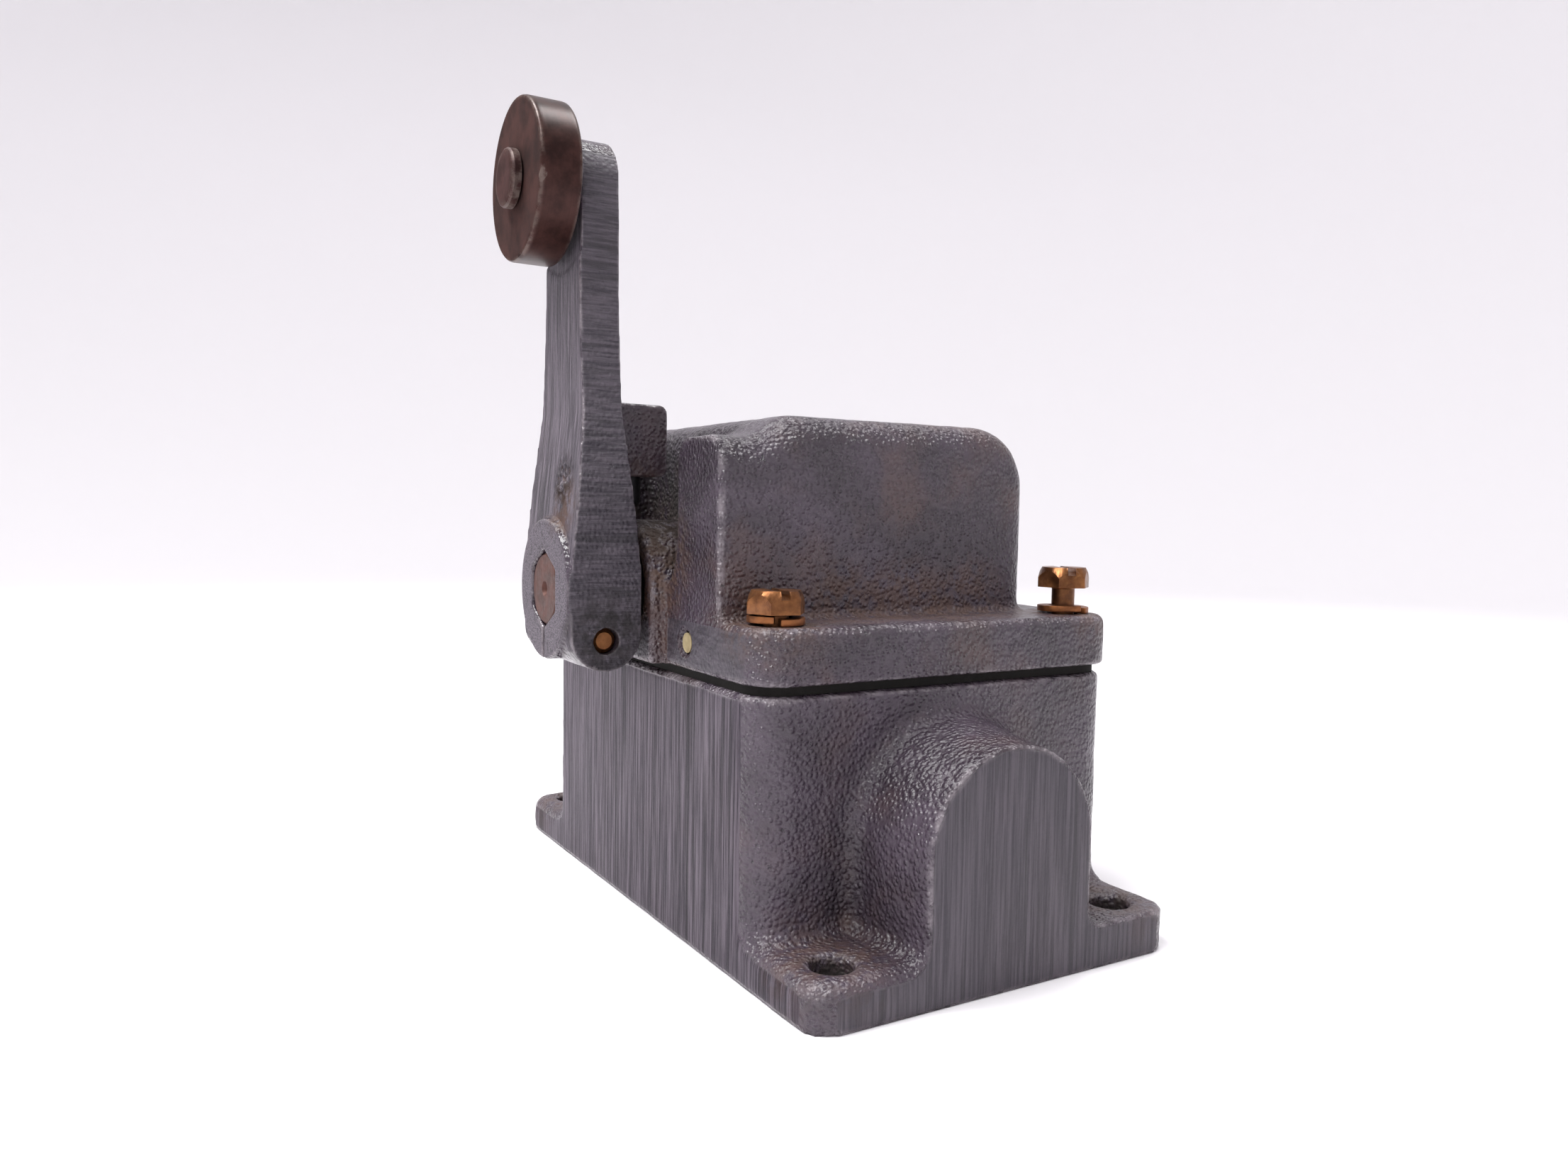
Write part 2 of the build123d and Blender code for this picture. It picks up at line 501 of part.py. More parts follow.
def contact_block():
    body = block(BLOCK_X0, BLOCK_X1, -BLOCK_HALF_Y, BLOCK_HALF_Y, FLOOR, BLOCK_TOP)
    barriers = [DRUM_PIN_X + step * SEGMENT_SPACING for step in (-1, 0, 1)]
    for x in barriers:
        for side in ENDS:
            y0, y1 = sorted((side * (FINGER_TIP_Y - 2), side * BLOCK_HALF_Y))
            body += block(x - BARRIER_T / 2, x + BARRIER_T / 2, y0, y1, BLOCK_TOP - 1, BLOCK_TOP + BARRIER_H)
    for x in BLOCK_SCREW_XS:
        body -= bar_z(x, 0, FLOOR - 1, BLOCK_TOP + 1, BLOCK_SCREW_D / 2 + 0.1)
        body -= bar_z(x, 0, FLOOR + 4, BLOCK_TOP + 1, BLOCK_SCREW_HEAD_D / 2 + 0.3)
    for x in SEGMENT_XS:
        for side in ENDS:
            body -= bar_z(x, side * TERMINAL_Y, BLOCK_TOP - 9, BLOCK_TOP + 1, SMALL_SCREW_D / 2 + 0.05)
    return body


def pan_screw(diameter, length, head_d, head_t):
    """A slotted pan-head screw, its head standing on z = 0."""
    head = bar_z(0, 0, 0, head_t, head_d / 2)
    head = fillet(head.edges().sort_by(Axis.Z)[-1], 0.6)
    head -= Pos(0, 0, head_t) * Box(head_d * 1.2, 1.0, 2.0)
    return head + bar_z(0, 0, -length, 0.2, diameter / 2)


def contact_block_screws():
    screw = pan_screw(BLOCK_SCREW_D, 4 + BLOCK_SCREW_BITE, BLOCK_SCREW_HEAD_D, BLOCK_SCREW_HEAD_T)
    return [Pos(x, 0, FLOOR + 4) * screw for x in BLOCK_SCREW_XS]


def contact_fingers():
    fingers = []
    for x in SEGMENT_XS:
        for side in ENDS:
            x0, x1 = x - FINGER_W / 2, x + FINGER_W / 2
            y0, y1 = sorted((side * FINGER_Y, side * (FINGER_Y + FINGER_T)))
            blade = block(x0, x1, y0, y1, BLOCK_TOP, SHAFT_Z + FINGER_TIP_D / 2 + 1.5)
            f0, f1 = sorted((side * FINGER_Y, side * (FINGER_Y + FINGER_T + FINGER_FOOT)))
            foot = block(x0, x1, f0, f1, BLOCK_TOP, BLOCK_TOP + FINGER_T)
            foot -= bar_z(x, side * TERMINAL_Y, BLOCK_TOP - 1, BLOCK_TOP + 2, SMALL_SCREW_D / 2 + 0.05)
            fingers.append(blade + foot)
    return fingers


def finger_tips():
    tips = []
    for x in SEGMENT_XS:
        for side in ENDS:
            y0, y1 = sorted((side * FINGER_TIP_Y, side * FINGER_Y))
            tips.append(bar_y(x, y0, y1, SHAFT_Z, FINGER_TIP_D / 2))
    return tips


def terminal_plates():
    half = TERMINAL_PLATE / 2
    bottom = BLOCK_TOP + FINGER_T
    plate = block(-half, half, -half, half, bottom, bottom + TERMINAL_PLATE_T)
    plate -= bar_z(0, 0, bottom - 1, bottom + 3, SMALL_SCREW_D / 2 + 0.05)
    return [Pos(x, side * TERMINAL_Y, 0) * plate for x in SEGMENT_XS for side in ENDS]


def terminal_screws():
    seat = BLOCK_TOP + FINGER_T + TERMINAL_PLATE_T
    screw = pan_screw(SMALL_SCREW_D, 8.5, SMALL_SCREW_HEAD_D, SMALL_SCREW_HEAD_T)
    return [Pos(x, side * TERMINAL_Y, seat) * screw for x in SEGMENT_XS for side in ENDS]


# ---- Lever body ----
def lever_front_outline():
    """The lever seen along X: round tip, sides that widen to the hub, square clamp lug."""
    bottom_z = SHAFT_Z - LUG_DROP - LUG_R
    square_z = SHAFT_Z + LEVER_SQUARE_UP
    waist_z = SHAFT_Z + LEVER_WAIST_UP
    tip = ThreePointArc((-LEVER_TIP_R, ROLLER_Z), (0, ROLLER_Z + LEVER_TIP_R), (LEVER_TIP_R, ROLLER_Z))
    right = Spline((LEVER_TIP_R, ROLLER_Z), (LEVER_WAIST_HALF, waist_z), (HUB_R, square_z),
                   tangents=[(0, -1), (0, -1)])
    left = Spline((-HUB_R, square_z), (-LEVER_WAIST_HALF, waist_z), (-LEVER_TIP_R, ROLLER_Z),
                  tangents=[(0, 1), (0, 1)])
    return make_face([
        tip, right, Line((HUB_R, square_z), (HUB_R, bottom_z)),
        Line((HUB_R, bottom_z), (-HUB_R, bottom_z)),
        Line((-HUB_R, bottom_z), (-HUB_R, square_z)), left])


def lever_side_outline():
    """The lever seen along Y: round clamp lug below, tapering to the thin arm."""
    lug_z = SHAFT_Z - LUG_DROP
    top_z = ROLLER_Z + LEVER_TIP_R + 1
    thick_z = SHAFT_Z + FLARE_START
    thin_z = SHAFT_Z + FLARE_END
    lug = ThreePointArc((LEVER_HUB_INNER_X, lug_z), (LUG_X, lug_z - LUG_R), (LUG_OUTER_X, lug_z))
    path = [(LUG_OUTER_X, lug_z), (LUG_OUTER_X, thick_z), (LEVER_OUTER_X, thin_z), (LEVER_OUTER_X, top_z),
            (LEVER_INNER_X, top_z), (LEVER_INNER_X, thin_z), (LEVER_HUB_INNER_X, thick_z),
            (LEVER_HUB_INNER_X, lug_z)]
    return make_face([Polyline(*path), lug])


def operating_lever():
    front = slab_between(lever_front_outline(), HUB_FACE_X - 2, LEVER_HUB_INNER_X + 2)
    side = extrude(Plane.XZ.offset(-HUB_R - 2) * lever_side_outline(), 2 * HUB_R + 4)
    body = front & side
    hub = bar_x(HUB_FACE_X, LEVER_HUB_INNER_X, 0, SHAFT_Z, HUB_R)
    body += fillet(hub.edges().sort_by(Axis.X)[0], HUB_FILLET)
    lug_end = LEVER_INNER_X + STOP_LUG_REACH
    stop = block(LEVER_INNER_X - 2, lug_end, -STOP_LUG_HALF_Y, STOP_LUG_HALF_Y,
                 SHAFT_Z + STOP_LUG_BOTTOM, SHAFT_Z + STOP_LUG_TOP)
    stop = fillet(stop.edges().filter_by(Axis.Y).group_by(Axis.X)[-1], STOP_LUG_EDGE_R)
    body += stop
    body -= bar_x(HUB_FACE_X - 5, SPOTFACE_X, 0, ROLLER_Z, SPOTFACE_R)
    body -= bar_x(HUB_FACE_X - 5, LEVER_INNER_X + 5, 0, ROLLER_Z, ROLLER_PIN_D / 2)
    body -= hex_bar_x(HUB_FACE_X - 1, LEVER_HUB_INNER_X + 1, SHAFT_Z, HEX_AF + 2 * HEX_CLEARANCE)
    body -= block(HUB_FACE_X - 1, LEVER_HUB_INNER_X + 1, -CLAMP_SLOT / 2, CLAMP_SLOT / 2,
                  SHAFT_Z - LUG_DROP - LUG_R - 1, SHAFT_Z - HEX_AF / 2)
    body -= bar_y(LUG_X, -HUB_R - 1, HUB_R + 1, SHAFT_Z - CLAMP_SCREW_DROP, CLAMP_SCREW_D / 2 + 0.05)
    pin_bottom = SHAFT_Z + STOP_LUG_BOTTOM
    body -= bar_z(lug_end - STOP_PIN_SETBACK, 0, pin_bottom - 1, pin_bottom + STOP_PIN_GRIP, STOP_PIN_D / 2)
    return body


def stop_pin():
    x = LEVER_INNER_X + STOP_LUG_REACH - STOP_PIN_SETBACK
    bottom = SHAFT_Z + STOP_LUG_BOTTOM - STOP_PIN_HANG
    pin = bar_z(x, 0, bottom, SHAFT_Z + STOP_LUG_BOTTOM + STOP_PIN_GRIP, STOP_PIN_D / 2)
    return fillet(pin.edges().sort_by(Axis.Z)[0], STOP_PIN_D * 0.4)


def clamp_screw():
    z = SHAFT_Z - CLAMP_SCREW_DROP
    seat_y = HUB_R + LOCK_WASHER_T
    shank = bar_y(LUG_X, -HUB_R + CLAMP_TIP_RECESS, seat_y + 0.5, z, CLAMP_SCREW_D / 2)
    shank = chamfer(shank.edges().sort_by(Axis.Y)[0], 0.7)
    head = slotted_hex_head(CLAMP_HEAD_AF, CLAMP_HEAD_T, SCREW_SLOT_W, SCREW_SLOT_DEPTH)
    return shank + Pos(LUG_X, seat_y, z) * Rot(-90, 0, 0) * head


def clamp_lock_washer():
    washer = lock_washer(CLAMP_SCREW_D + 0.2, CLAMP_HEAD_AF + 0.6, LOCK_WASHER_T, LOCK_WASHER_GAP)
    return Pos(LUG_X, HUB_R, SHAFT_Z - CLAMP_SCREW_DROP) * Rot(-90, 0, 0) * washer


def operating_shaft():
    hexagon = hex_bar_x(SHAFT_END_X, HEX_END_X, SHAFT_Z, HEX_AF)
    cone_length = 14.0
    cone = Pos(SHAFT_END_X + cone_length / 2, 0, SHAFT_Z) * Rot(0, 90, 0) * Cone(
        HEX_AF / 2 - 0.1, HEX_AF / 2 - 0.1 + cone_length, cone_length)
    hexagon = hexagon & cone
    centre = Pos(SHAFT_END_X + CENTRE_HOLE_DEPTH / 2, 0, SHAFT_Z) * Rot(0, 90, 0) * Cone(
        CENTRE_HOLE_D / 2, 0.3, CENTRE_HOLE_DEPTH)
    hexagon -= centre
    half_groove = CLAMP_SCREW_D / 2 + 0.4
    groove = bar_x(LUG_X - half_groove, LUG_X + half_groove, 0, SHAFT_Z, HEX_AF)
    hexagon -= groove - bar_x(SHAFT_END_X, HEX_END_X, 0, SHAFT_Z, HEX_AF / 2 + 0.02)
    shaft = hexagon + bar_x(HEX_END_X - 1, JOURNAL_END_X, 0, SHAFT_Z, JOURNAL_R)
    ring_groove = bar_x(RING_X, RING_X + RING_T, 0, SHAFT_Z, JOURNAL_D)
    shaft -= ring_groove - bar_x(RING_X - 1, RING_X + 2, 0, SHAFT_Z, JOURNAL_R - RING_GROOVE_DEPTH)
    for x in (DRIVER_PIN_X, DRUM_PIN_X):
        shaft -= bar_z(x, 0, SHAFT_Z - JOURNAL_D, SHAFT_Z + JOURNAL_D, CROSS_PIN_D / 2)
    return shaft


def thrust_washer():
    ring = bar_x(HEX_END_X, HEX_END_X + THRUST_WASHER_T, 0, SHAFT_Z, THRUST_WASHER_OD / 2)
    return ring - bar_x(HEX_END_X - 1, HEX_END_X + 3, 0, SHAFT_Z, JOURNAL_R)


def shaft_retaining_ring():
    ring = bar_x(RING_X, RING_X + RING_T, 0, SHAFT_Z, RING_OD / 2)
    ring -= bar_x(RING_X - 1, RING_X + 2, 0, SHAFT_Z, JOURNAL_R - RING_GROOVE_DEPTH)
    return ring - block(RING_X - 1, RING_X + 2, -2.4, 2.4, SHAFT_Z, SHAFT_Z + RING_OD)


def spring_driver():
    """A plate with two pegs that push the spring legs, on a hub inside the coil."""
    plate = slab_between(Pos(0, SHAFT_Z) * Circle(DRIVER_ARM_R), DRIVER_X, DRIVER_X + DRIVER_T)
    plate -= block(DRIVER_X - 1, DRIVER_X + DRIVER_T + 1, -DRIVER_ARM_R, DRIVER_ARM_R,
                   SHAFT_Z + DRIVER_HUB_R, SHAFT_Z + DRIVER_ARM_R + 1)
    driver = plate + bar_x(DRIVER_X, DRIVER_X + DRIVER_T + DRIVER_HUB_LENGTH, 0, SHAFT_Z, DRIVER_HUB_R)
    for side in ENDS:
        driver += bar_x(DRIVER_X, DRIVER_X + DRIVER_T + DRIVER_PEG_REACH, side * DRIVER_PEG_Y,
                        DRIVER_PEG_Z, DRIVER_PEG_D / 2)
    driver -= bar_x(DRIVER_X - 1, DRIVER_X + DRIVER_T + DRIVER_HUB_LENGTH + 1, 0, SHAFT_Z, JOURNAL_R)
    return driver - bar_z(DRIVER_PIN_X, 0, SHAFT_Z - DRUM_R, SHAFT_Z + DRUM_R, CROSS_PIN_D / 2)


def driver_pin():
    return bar_z(DRIVER_PIN_X, 0, SHAFT_Z - DRIVER_HUB_R, SHAFT_Z + DRIVER_HUB_R, CROSS_PIN_D / 2)


def contact_drum():
    drum = bar_x(DRUM_START_X, DRUM_END_X, 0, SHAFT_Z, DRUM_R)
    drum -= bar_x(DRUM_START_X - 1, DRUM_END_X + 1, 0, SHAFT_Z, JOURNAL_R)
    return drum - bar_z(DRUM_PIN_X, 0, SHAFT_Z - DRUM_R - 1, SHAFT_Z + DRUM_R + 1, CROSS_PIN_D / 2)


def drum_pin():
    return bar_z(DRUM_PIN_X, 0, SHAFT_Z - DRUM_R, SHAFT_Z + DRUM_R, CROSS_PIN_D / 2)


def drum_segments():
    segments = []
    for x, (start, end) in zip(SEGMENT_XS, SEGMENT_ARCS):
        middle = (start + end) / 2
        points = [Vector(2 * DRUM_R * cos(radians(a)), 2 * DRUM_R * sin(radians(a)))
                  for a in (start, (start + middle) / 2, middle, (middle + end) / 2, end)]
        sector = make_face(Polyline((0, 0), *points, close=True))
        strip = (Circle(SEGMENT_R) - Circle(DRUM_R)) & sector
        segments.append(Pos(0, 0, SHAFT_Z) * slab_between(strip, x - SEGMENT_W / 2, x + SEGMENT_W / 2))
    return segments


def lever_roller():
    wheel = bar_x(ROLLER_OUTER_X, ROLLER_INNER_X, 0, ROLLER_Z, ROLLER_D / 2)
    wheel = chamfer(wheel.edges(), ROLLER_CHAMFER)
    return wheel - bar_x(ROLLER_OUTER_X - 1, ROLLER_INNER_X + 1, 0, ROLLER_Z,
                         ROLLER_PIN_D / 2 + RUNNING_CLEARANCE)


def roller_pin():
    head = bar_x(PIN_HEAD_INNER_X - ROLLER_PIN_HEAD_T, PIN_HEAD_INNER_X, 0, ROLLER_Z, ROLLER_PIN_HEAD_D / 2)
    head = chamfer(head.edges().sort_by(Axis.X)[0], 0.25)
    shank = bar_x(PIN_HEAD_INNER_X - 0.5, LEVER_INNER_X, 0, ROLLER_Z, ROLLER_PIN_D / 2)
    tail = bar_x(LEVER_INNER_X, LEVER_INNER_X + ROLLER_PIN_TAIL_T, 0, ROLLER_Z, ROLLER_PIN_TAIL_D / 2)
    tail = fillet(tail.edges().sort_by(Axis.X)[-1], 0.5)
    return head + shank + tail


def roller_washer():
    ring = bar_x(SPOTFACE_X - ROLLER_WASHER_T, SPOTFACE_X, 0, ROLLER_Z, ROLLER_WASHER_OD / 2)
    return ring - bar_x(SPOTFACE_X - 3, SPOTFACE_X + 1, 0, ROLLER_Z, ROLLER_PIN_D / 2)


NODES = {
    "base_housing": base_housing,
    "cover_gasket": cover_gasket,
    "top_cover": top_cover,
    "cover_screws": cover_screws,
    "cover_lock_washers": cover_lock_washers,
    "shaft_bush": shaft_bush,
    "end_bush": end_bush,
    "shaft_seal": shaft_seal,
    "spring_anchor_pins": spring_anchor_pins,
    "return_spring": return_spring,
    "contact_block": contact_block,
    "contact_block_screws": contact_block_screws,
    "contact_fingers": contact_fingers,
    "finger_tips": finger_tips,
    "terminal_plates": terminal_plates,
    "terminal_screws": terminal_screws,
    "operating_lever": operating_lever,
    "stop_pin": stop_pin,
    "clamp_screw": clamp_screw,
    "clamp_lock_washer": clamp_lock_washer,
    "operating_shaft": operating_shaft,
    "thrust_washer": thrust_washer,
    "shaft_retaining_ring": shaft_retaining_ring,
    "spring_driver": spring_driver,
    "driver_pin": driver_pin,
    "contact_drum": contact_drum,
    "drum_segments": drum_segments,
    "drum_pin": drum_pin,
    "lever_roller": lever_roller,
    "roller_pin": roller_pin,
    "roller_washer": roller_washer,
}

os.makedirs("parts", exist_ok=True)
for name, make in NODES.items():
    piece = make()
    if isinstance(piece, (list, tuple)):
        piece = Compound(children=list(piece))
    export_step(piece, f"parts/{name}.step")
    print(name)
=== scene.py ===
import math

import bpy
from mathutils import Matrix, Vector, noise


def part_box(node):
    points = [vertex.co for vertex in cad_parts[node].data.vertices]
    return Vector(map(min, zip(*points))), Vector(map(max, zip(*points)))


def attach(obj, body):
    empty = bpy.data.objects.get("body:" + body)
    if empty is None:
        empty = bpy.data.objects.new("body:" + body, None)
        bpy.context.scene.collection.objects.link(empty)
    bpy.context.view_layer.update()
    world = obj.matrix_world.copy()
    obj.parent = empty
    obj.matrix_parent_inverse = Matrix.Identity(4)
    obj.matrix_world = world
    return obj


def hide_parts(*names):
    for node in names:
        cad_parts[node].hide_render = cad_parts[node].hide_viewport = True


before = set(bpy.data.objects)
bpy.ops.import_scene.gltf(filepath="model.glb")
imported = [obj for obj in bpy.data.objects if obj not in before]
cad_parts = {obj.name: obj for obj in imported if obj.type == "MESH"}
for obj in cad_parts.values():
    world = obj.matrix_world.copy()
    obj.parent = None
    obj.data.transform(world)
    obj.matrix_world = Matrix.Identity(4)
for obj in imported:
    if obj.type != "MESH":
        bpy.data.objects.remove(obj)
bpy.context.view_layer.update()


# ---- Camera ----
# A wide lens close to the switch, a little above the cover and turned towards the lever side.
# Yaw is counted to the right and pitch upward, in degrees.
CAMERA_PLACE = (-0.111756, -0.178935, 0.069477)
CAMERA_YAW, CAMERA_PITCH, CAMERA_ROLL = 30.800, -3.875, 0.968
LENS_MM, SENSOR_MM = 25.889, 36.0
NEAREST_SEEN = 0.01

bpy.ops.object.select_all(action="DESELECT")
bpy.ops.object.camera_add(location=(0, 0, 0))
camera = bpy.context.object
camera.data.lens = LENS_MM
camera.data.sensor_width = SENSOR_MM
camera.data.clip_start = NEAREST_SEEN
camera.matrix_world = (Matrix.Translation(CAMERA_PLACE)
                       @ Matrix.Rotation(math.radians(-CAMERA_YAW), 4, "Z")
                       @ Matrix.Rotation(math.radians(90 + CAMERA_PITCH), 4, "X")
                       @ Matrix.Rotation(math.radians(CAMERA_ROLL), 4, "Z"))
bpy.context.scene.camera = camera
bpy.context.scene.view_settings.view_transform = "Standard"


# ---- Floor and light ----
# A round cove of white paper under open white light. Three soft disc lamps hang over it, to the left
# of the lever, to the right of the switch and high behind it.
FLOOR_R = 0.9
COVE_R = 0.5
COVE_HEIGHT = 1.6
COVE_STEPS, COVE_SIDES = 12, 96
PAPER_WHITE = (0.80, 0.785, 0.805, 1)
LAMPS = (("left_lamp", (-0.46, -0.16, 0.74), 0.40, 5.0),
         ("right_lamp", (0.27, 0.05, 0.86), 0.34, 4.0),
         ("top_lamp", (-0.33, 0.16, 0.79), 0.34, 7.5))
LAMPS_AIM = Vector((0, 0, 0.05))
OPEN_LIGHT_COLOUR, OPEN_LIGHT_STRENGTH = (1.0, 0.985, 1.0, 1), 0.78
TURNED_SMOOTH_UNDER = math.radians(32)
MERGE_UNDER = 2e-6


def add(tree, kind, sockets=None, **settings):
    """Adds a shader node and gives its outputs. A socket takes a plain value or another node's output."""
    made = tree.nodes.new("ShaderNode" + kind)
    for key, value in settings.items():
        setattr(made, key, value)
    for key, value in (sockets or {}).items():
        set_socket(tree, made.inputs[key], value)
    return made.outputs


def set_socket(tree, socket, value):
    if isinstance(value, bpy.types.NodeSocket):
        tree.links.new(value, socket)
    else:
        socket.default_value = value


def new_material(name):
    """An empty material, as (material, node tree)."""
    material = bpy.data.materials.new(name)
    material.use_nodes = True
    material.node_tree.nodes.clear()
    return material, material.node_tree


def close_material(tree, sockets):
    """Ends a material with its surface, which has these sockets."""
    surface = add(tree, "BsdfPrincipled", sockets)[0]
    output = tree.nodes.new("ShaderNodeOutputMaterial")
    tree.links.new(surface, output.inputs["Surface"])


def activate(piece):
    bpy.ops.object.select_all(action="DESELECT")
    piece.select_set(True)
    bpy.context.view_layer.objects.active = piece


def new_piece(name, mesh):
    piece = bpy.data.objects.new(name, mesh)
    bpy.context.scene.collection.objects.link(piece)
    return piece


def open_mesh(piece):
    """Opens a piece's mesh for editing, with all of it selected."""
    activate(piece)
    bpy.ops.object.mode_set(mode="EDIT")
    bpy.ops.mesh.select_all(action="SELECT")


def spun(name, profile, steps, axis, centre=(0, 0, 0)):
    """A closed turned shape: a chain of (radius, distance along the axis) points, spun once round."""
    along = Vector(axis)
    out = Vector((0, 1, 0)) if abs(along.y) < 0.5 else Vector((1, 0, 0))
    points = [Vector(centre) + along * height + out * radius for radius, height in profile]
    mesh = bpy.data.meshes.new(name)
    mesh.from_pydata(points, [(i, i + 1) for i in range(len(points) - 1)], [])
    piece = new_piece(name, mesh)
    open_mesh(piece)
    bpy.ops.mesh.spin(steps=steps, angle=math.tau, center=centre, axis=axis)
    bpy.ops.mesh.select_all(action="SELECT")
    bpy.ops.mesh.remove_doubles(threshold=MERGE_UNDER)
    bpy.ops.mesh.normals_make_consistent(inside=False)
    bpy.ops.object.mode_set(mode="OBJECT")
    bpy.ops.object.shade_smooth_by_angle(angle=TURNED_SMOOTH_UNDER)
    return piece


cove_profile = [(0.0, 0.0), (FLOOR_R, 0.0)]
for step in range(1, COVE_STEPS + 1):
    turn = step / COVE_STEPS * math.pi / 2
    cove_profile.append((FLOOR_R + COVE_R * math.sin(turn), COVE_R * (1 - math.cos(turn))))
cove_profile.append((FLOOR_R + COVE_R, COVE_HEIGHT))
cove = spun("studio_cove", cove_profile, COVE_SIDES, (0, 0, 1))
open_mesh(cove)
bpy.ops.mesh.flip_normals()
bpy.ops.object.mode_set(mode="OBJECT")
material, tree = new_material("white_paper")
close_material(tree, {"Base Color": PAPER_WHITE, "Roughness": 0.75, "Specular IOR Level": 0.2})
cove.data.materials.append(material)

for name, place, size, power in LAMPS:
    bpy.ops.object.light_add(type="AREA", location=place)
    lamp = bpy.context.object
    lamp.name = name
    lamp.data.shape = "DISK"
    lamp.data.size = size
    lamp.data.energy = power
    lamp.rotation_euler = (LAMPS_AIM - Vector(place)).to_track_quat("-Z", "Y").to_euler()
world = bpy.data.worlds.new("open_light")
bpy.context.scene.world = world
world.use_nodes = True
background = world.node_tree.nodes["Background"].inputs
background["Color"].default_value = OPEN_LIGHT_COLOUR
background["Strength"].default_value = OPEN_LIGHT_STRENGTH


# ---- Base housing ----
# A grey iron sand casting: a box with four feet and a conduit boss at each end, hollow inside. It is
# brushed with blue-grey machinery enamel; the lever-side face and the ends are ground flat.
MM = 0.001
HOUSING_GRID, HOUSING_SKIN = 0.72 * MM, 0.16 * MM
HOUSING_MACHINED = ((0, -34.4), (1, -58.5), (1, 58.5), (2, 0.0), (2, 43.0), (2, 6.0))
ROUNDING_PASSES = 3
MACHINED_BAND = 0.16 * MM
BROAD_LUMP, FINE_LUMP = 5.2 * MM, 1.7 * MM

PAINT_DARK = (0.024, 0.017, 0.024, 1)
PAINT_LIGHT = (0.054, 0.040, 0.056, 1)
PAINT_BROWNED = (0.066, 0.038, 0.036, 1)
PAINT_WORN = (0.270, 0.240, 0.258, 1)
PIT_DARK = (0.03, 0.03, 0.035, 1)
GROUND_DARK = (0.022, 0.018, 0.026, 1)
GROUND_LIGHT = (0.180, 0.153, 0.182, 1)
SCORE_DARK = (0.014, 0.012, 0.016, 1)
DUST = (0.078, 0.040, 0.025, 1)
# near black: painted shade in the foot holes, deep in the cover's recess and low on the lever's front
# side; real grime on the lever's burr
GRIME_AND_SHADE = (0.008, 0.006, 0.005, 1)

LUMPS_PER_METRE = 1350.0
LUMP_SHARE, BEAD_SHARE, SAND_SHARE, PIT_SHARE = 0.45, 0.42, 0.16, 0.5
PIT_SPAN = (0.66, 0.74)
FACING_BLEND = 0.05
EDGE_BEND, CREVICE_SPAN = 0.512, (0.455, 0.49)

ENAMEL_ROUGH = 0.20
MOTTLE_ROUGHER, GROUND_ROUGHER, CREVICE_ROUGHER, DIRT_AND_SHADE_ROUGHER = 0.12, 0.28, 0.3, 0.4
PIT_SHOWS, SCORE_SHOWS, GROUND_SHOWS, WEAR_SHOWS, CREVICE_SHOWS = 0.5, 0.7, 0.85, 0.55, 0.6
WORN_METALLIC = 0.2
LINE_HEIGHT = 0.10
CASTING_BUMP, BUMP_DEPTH = 0.9, 0.5 * MM


def calc(tree, operation, a, b=0.0, clamp=False):
    return add(tree, "Math", {0: a, 1: b}, operation=operation, use_clamp=clamp)[0]


def times(tree, a, b):
    return calc(tree, "MULTIPLY", a, b)


def plus(tree, a, b, clamp=False):
    return calc(tree, "ADD", a, b, clamp)


def minus(tree, a, b):
    return calc(tree, "SUBTRACT", a, b)


def span(tree, value, low, high):
    """0 below low, 1 above high, and a smooth step between."""
    return add(tree, "MapRange", {"Value": value, "From Min": low, "From Max": high},
               interpolation_type="SMOOTHSTEP")[0]


def mix(tree, factor, a, b):
    return add(tree, "Mix", {0: factor, 6: a, 7: b}, data_type="RGBA")[2]


def spot(tree):
    """The place on the piece."""
    return add(tree, "TexCoord")["Object"]


def uneven(tree, place, scale, detail, roughness=0.5):
    """A cloudy pattern from 0 to 1: scale is its lumps per metre, detail the finer layers on them."""
    return add(tree, "TexNoise", {"Vector": place, "Scale": scale, "Detail": detail,
                                  "Roughness": roughness})[0]


def vector(tree, x, y, z):
    return add(tree, "CombineXYZ", {0: x, 1: y, 2: z})[0]


def bump(tree, height, strength, depth=BUMP_DEPTH):
    return add(tree, "Bump", {"Strength": strength, "Distance": depth, "Height": height})[0]


def start_group(name, values, results):
    """A shader node group with number sockets, as (group, inputs, outputs)."""
    group = bpy.data.node_groups.new(name, "ShaderNodeTree")
    for label, default in values.items():
        socket = group.interface.new_socket(label, in_out="INPUT", socket_type="NodeSocketFloat")
        socket.default_value = default
    for label in results:
        group.interface.new_socket(label, in_out="OUTPUT", socket_type="NodeSocketFloat")
    return (group, group.nodes.new("NodeGroupInput").outputs,
            group.nodes.new("NodeGroupOutput").inputs)


def use_group(tree, group, **values):
    made = tree.nodes.new("ShaderNodeGroup")
    made.node_tree = group
    for key, value in values.items():
        set_socket(tree, made.inputs[key.replace("_", " ")], value)
    return made.outputs


# the skin that a sand mould leaves: rounded lumps, fine sand grain, and a few pits
cast_skin, given, gives = start_group("cast_skin", {"Lumps": LUMPS_PER_METRE},
                                      ("Height", "Pits", "Mottle"))
place = spot(cast_skin)
lumps = uneven(cast_skin, place, times(cast_skin, given["Lumps"], 0.6), 2.0, 0.45)
beads = add(cast_skin, "TexVoronoi", {"Vector": place, "Scale": given["Lumps"], "Smoothness": 0.35},
            feature="SMOOTH_F1")[0]
beads = minus(cast_skin, 1.0, span(cast_skin, beads, 0.05, 0.72))
sand = uneven(cast_skin, place, times(cast_skin, given["Lumps"], 4.2), 2.0)
height = plus(cast_skin, times(cast_skin, lumps, LUMP_SHARE), times(cast_skin, beads, BEAD_SHARE))
height = plus(cast_skin, height, times(cast_skin, sand, SAND_SHARE))
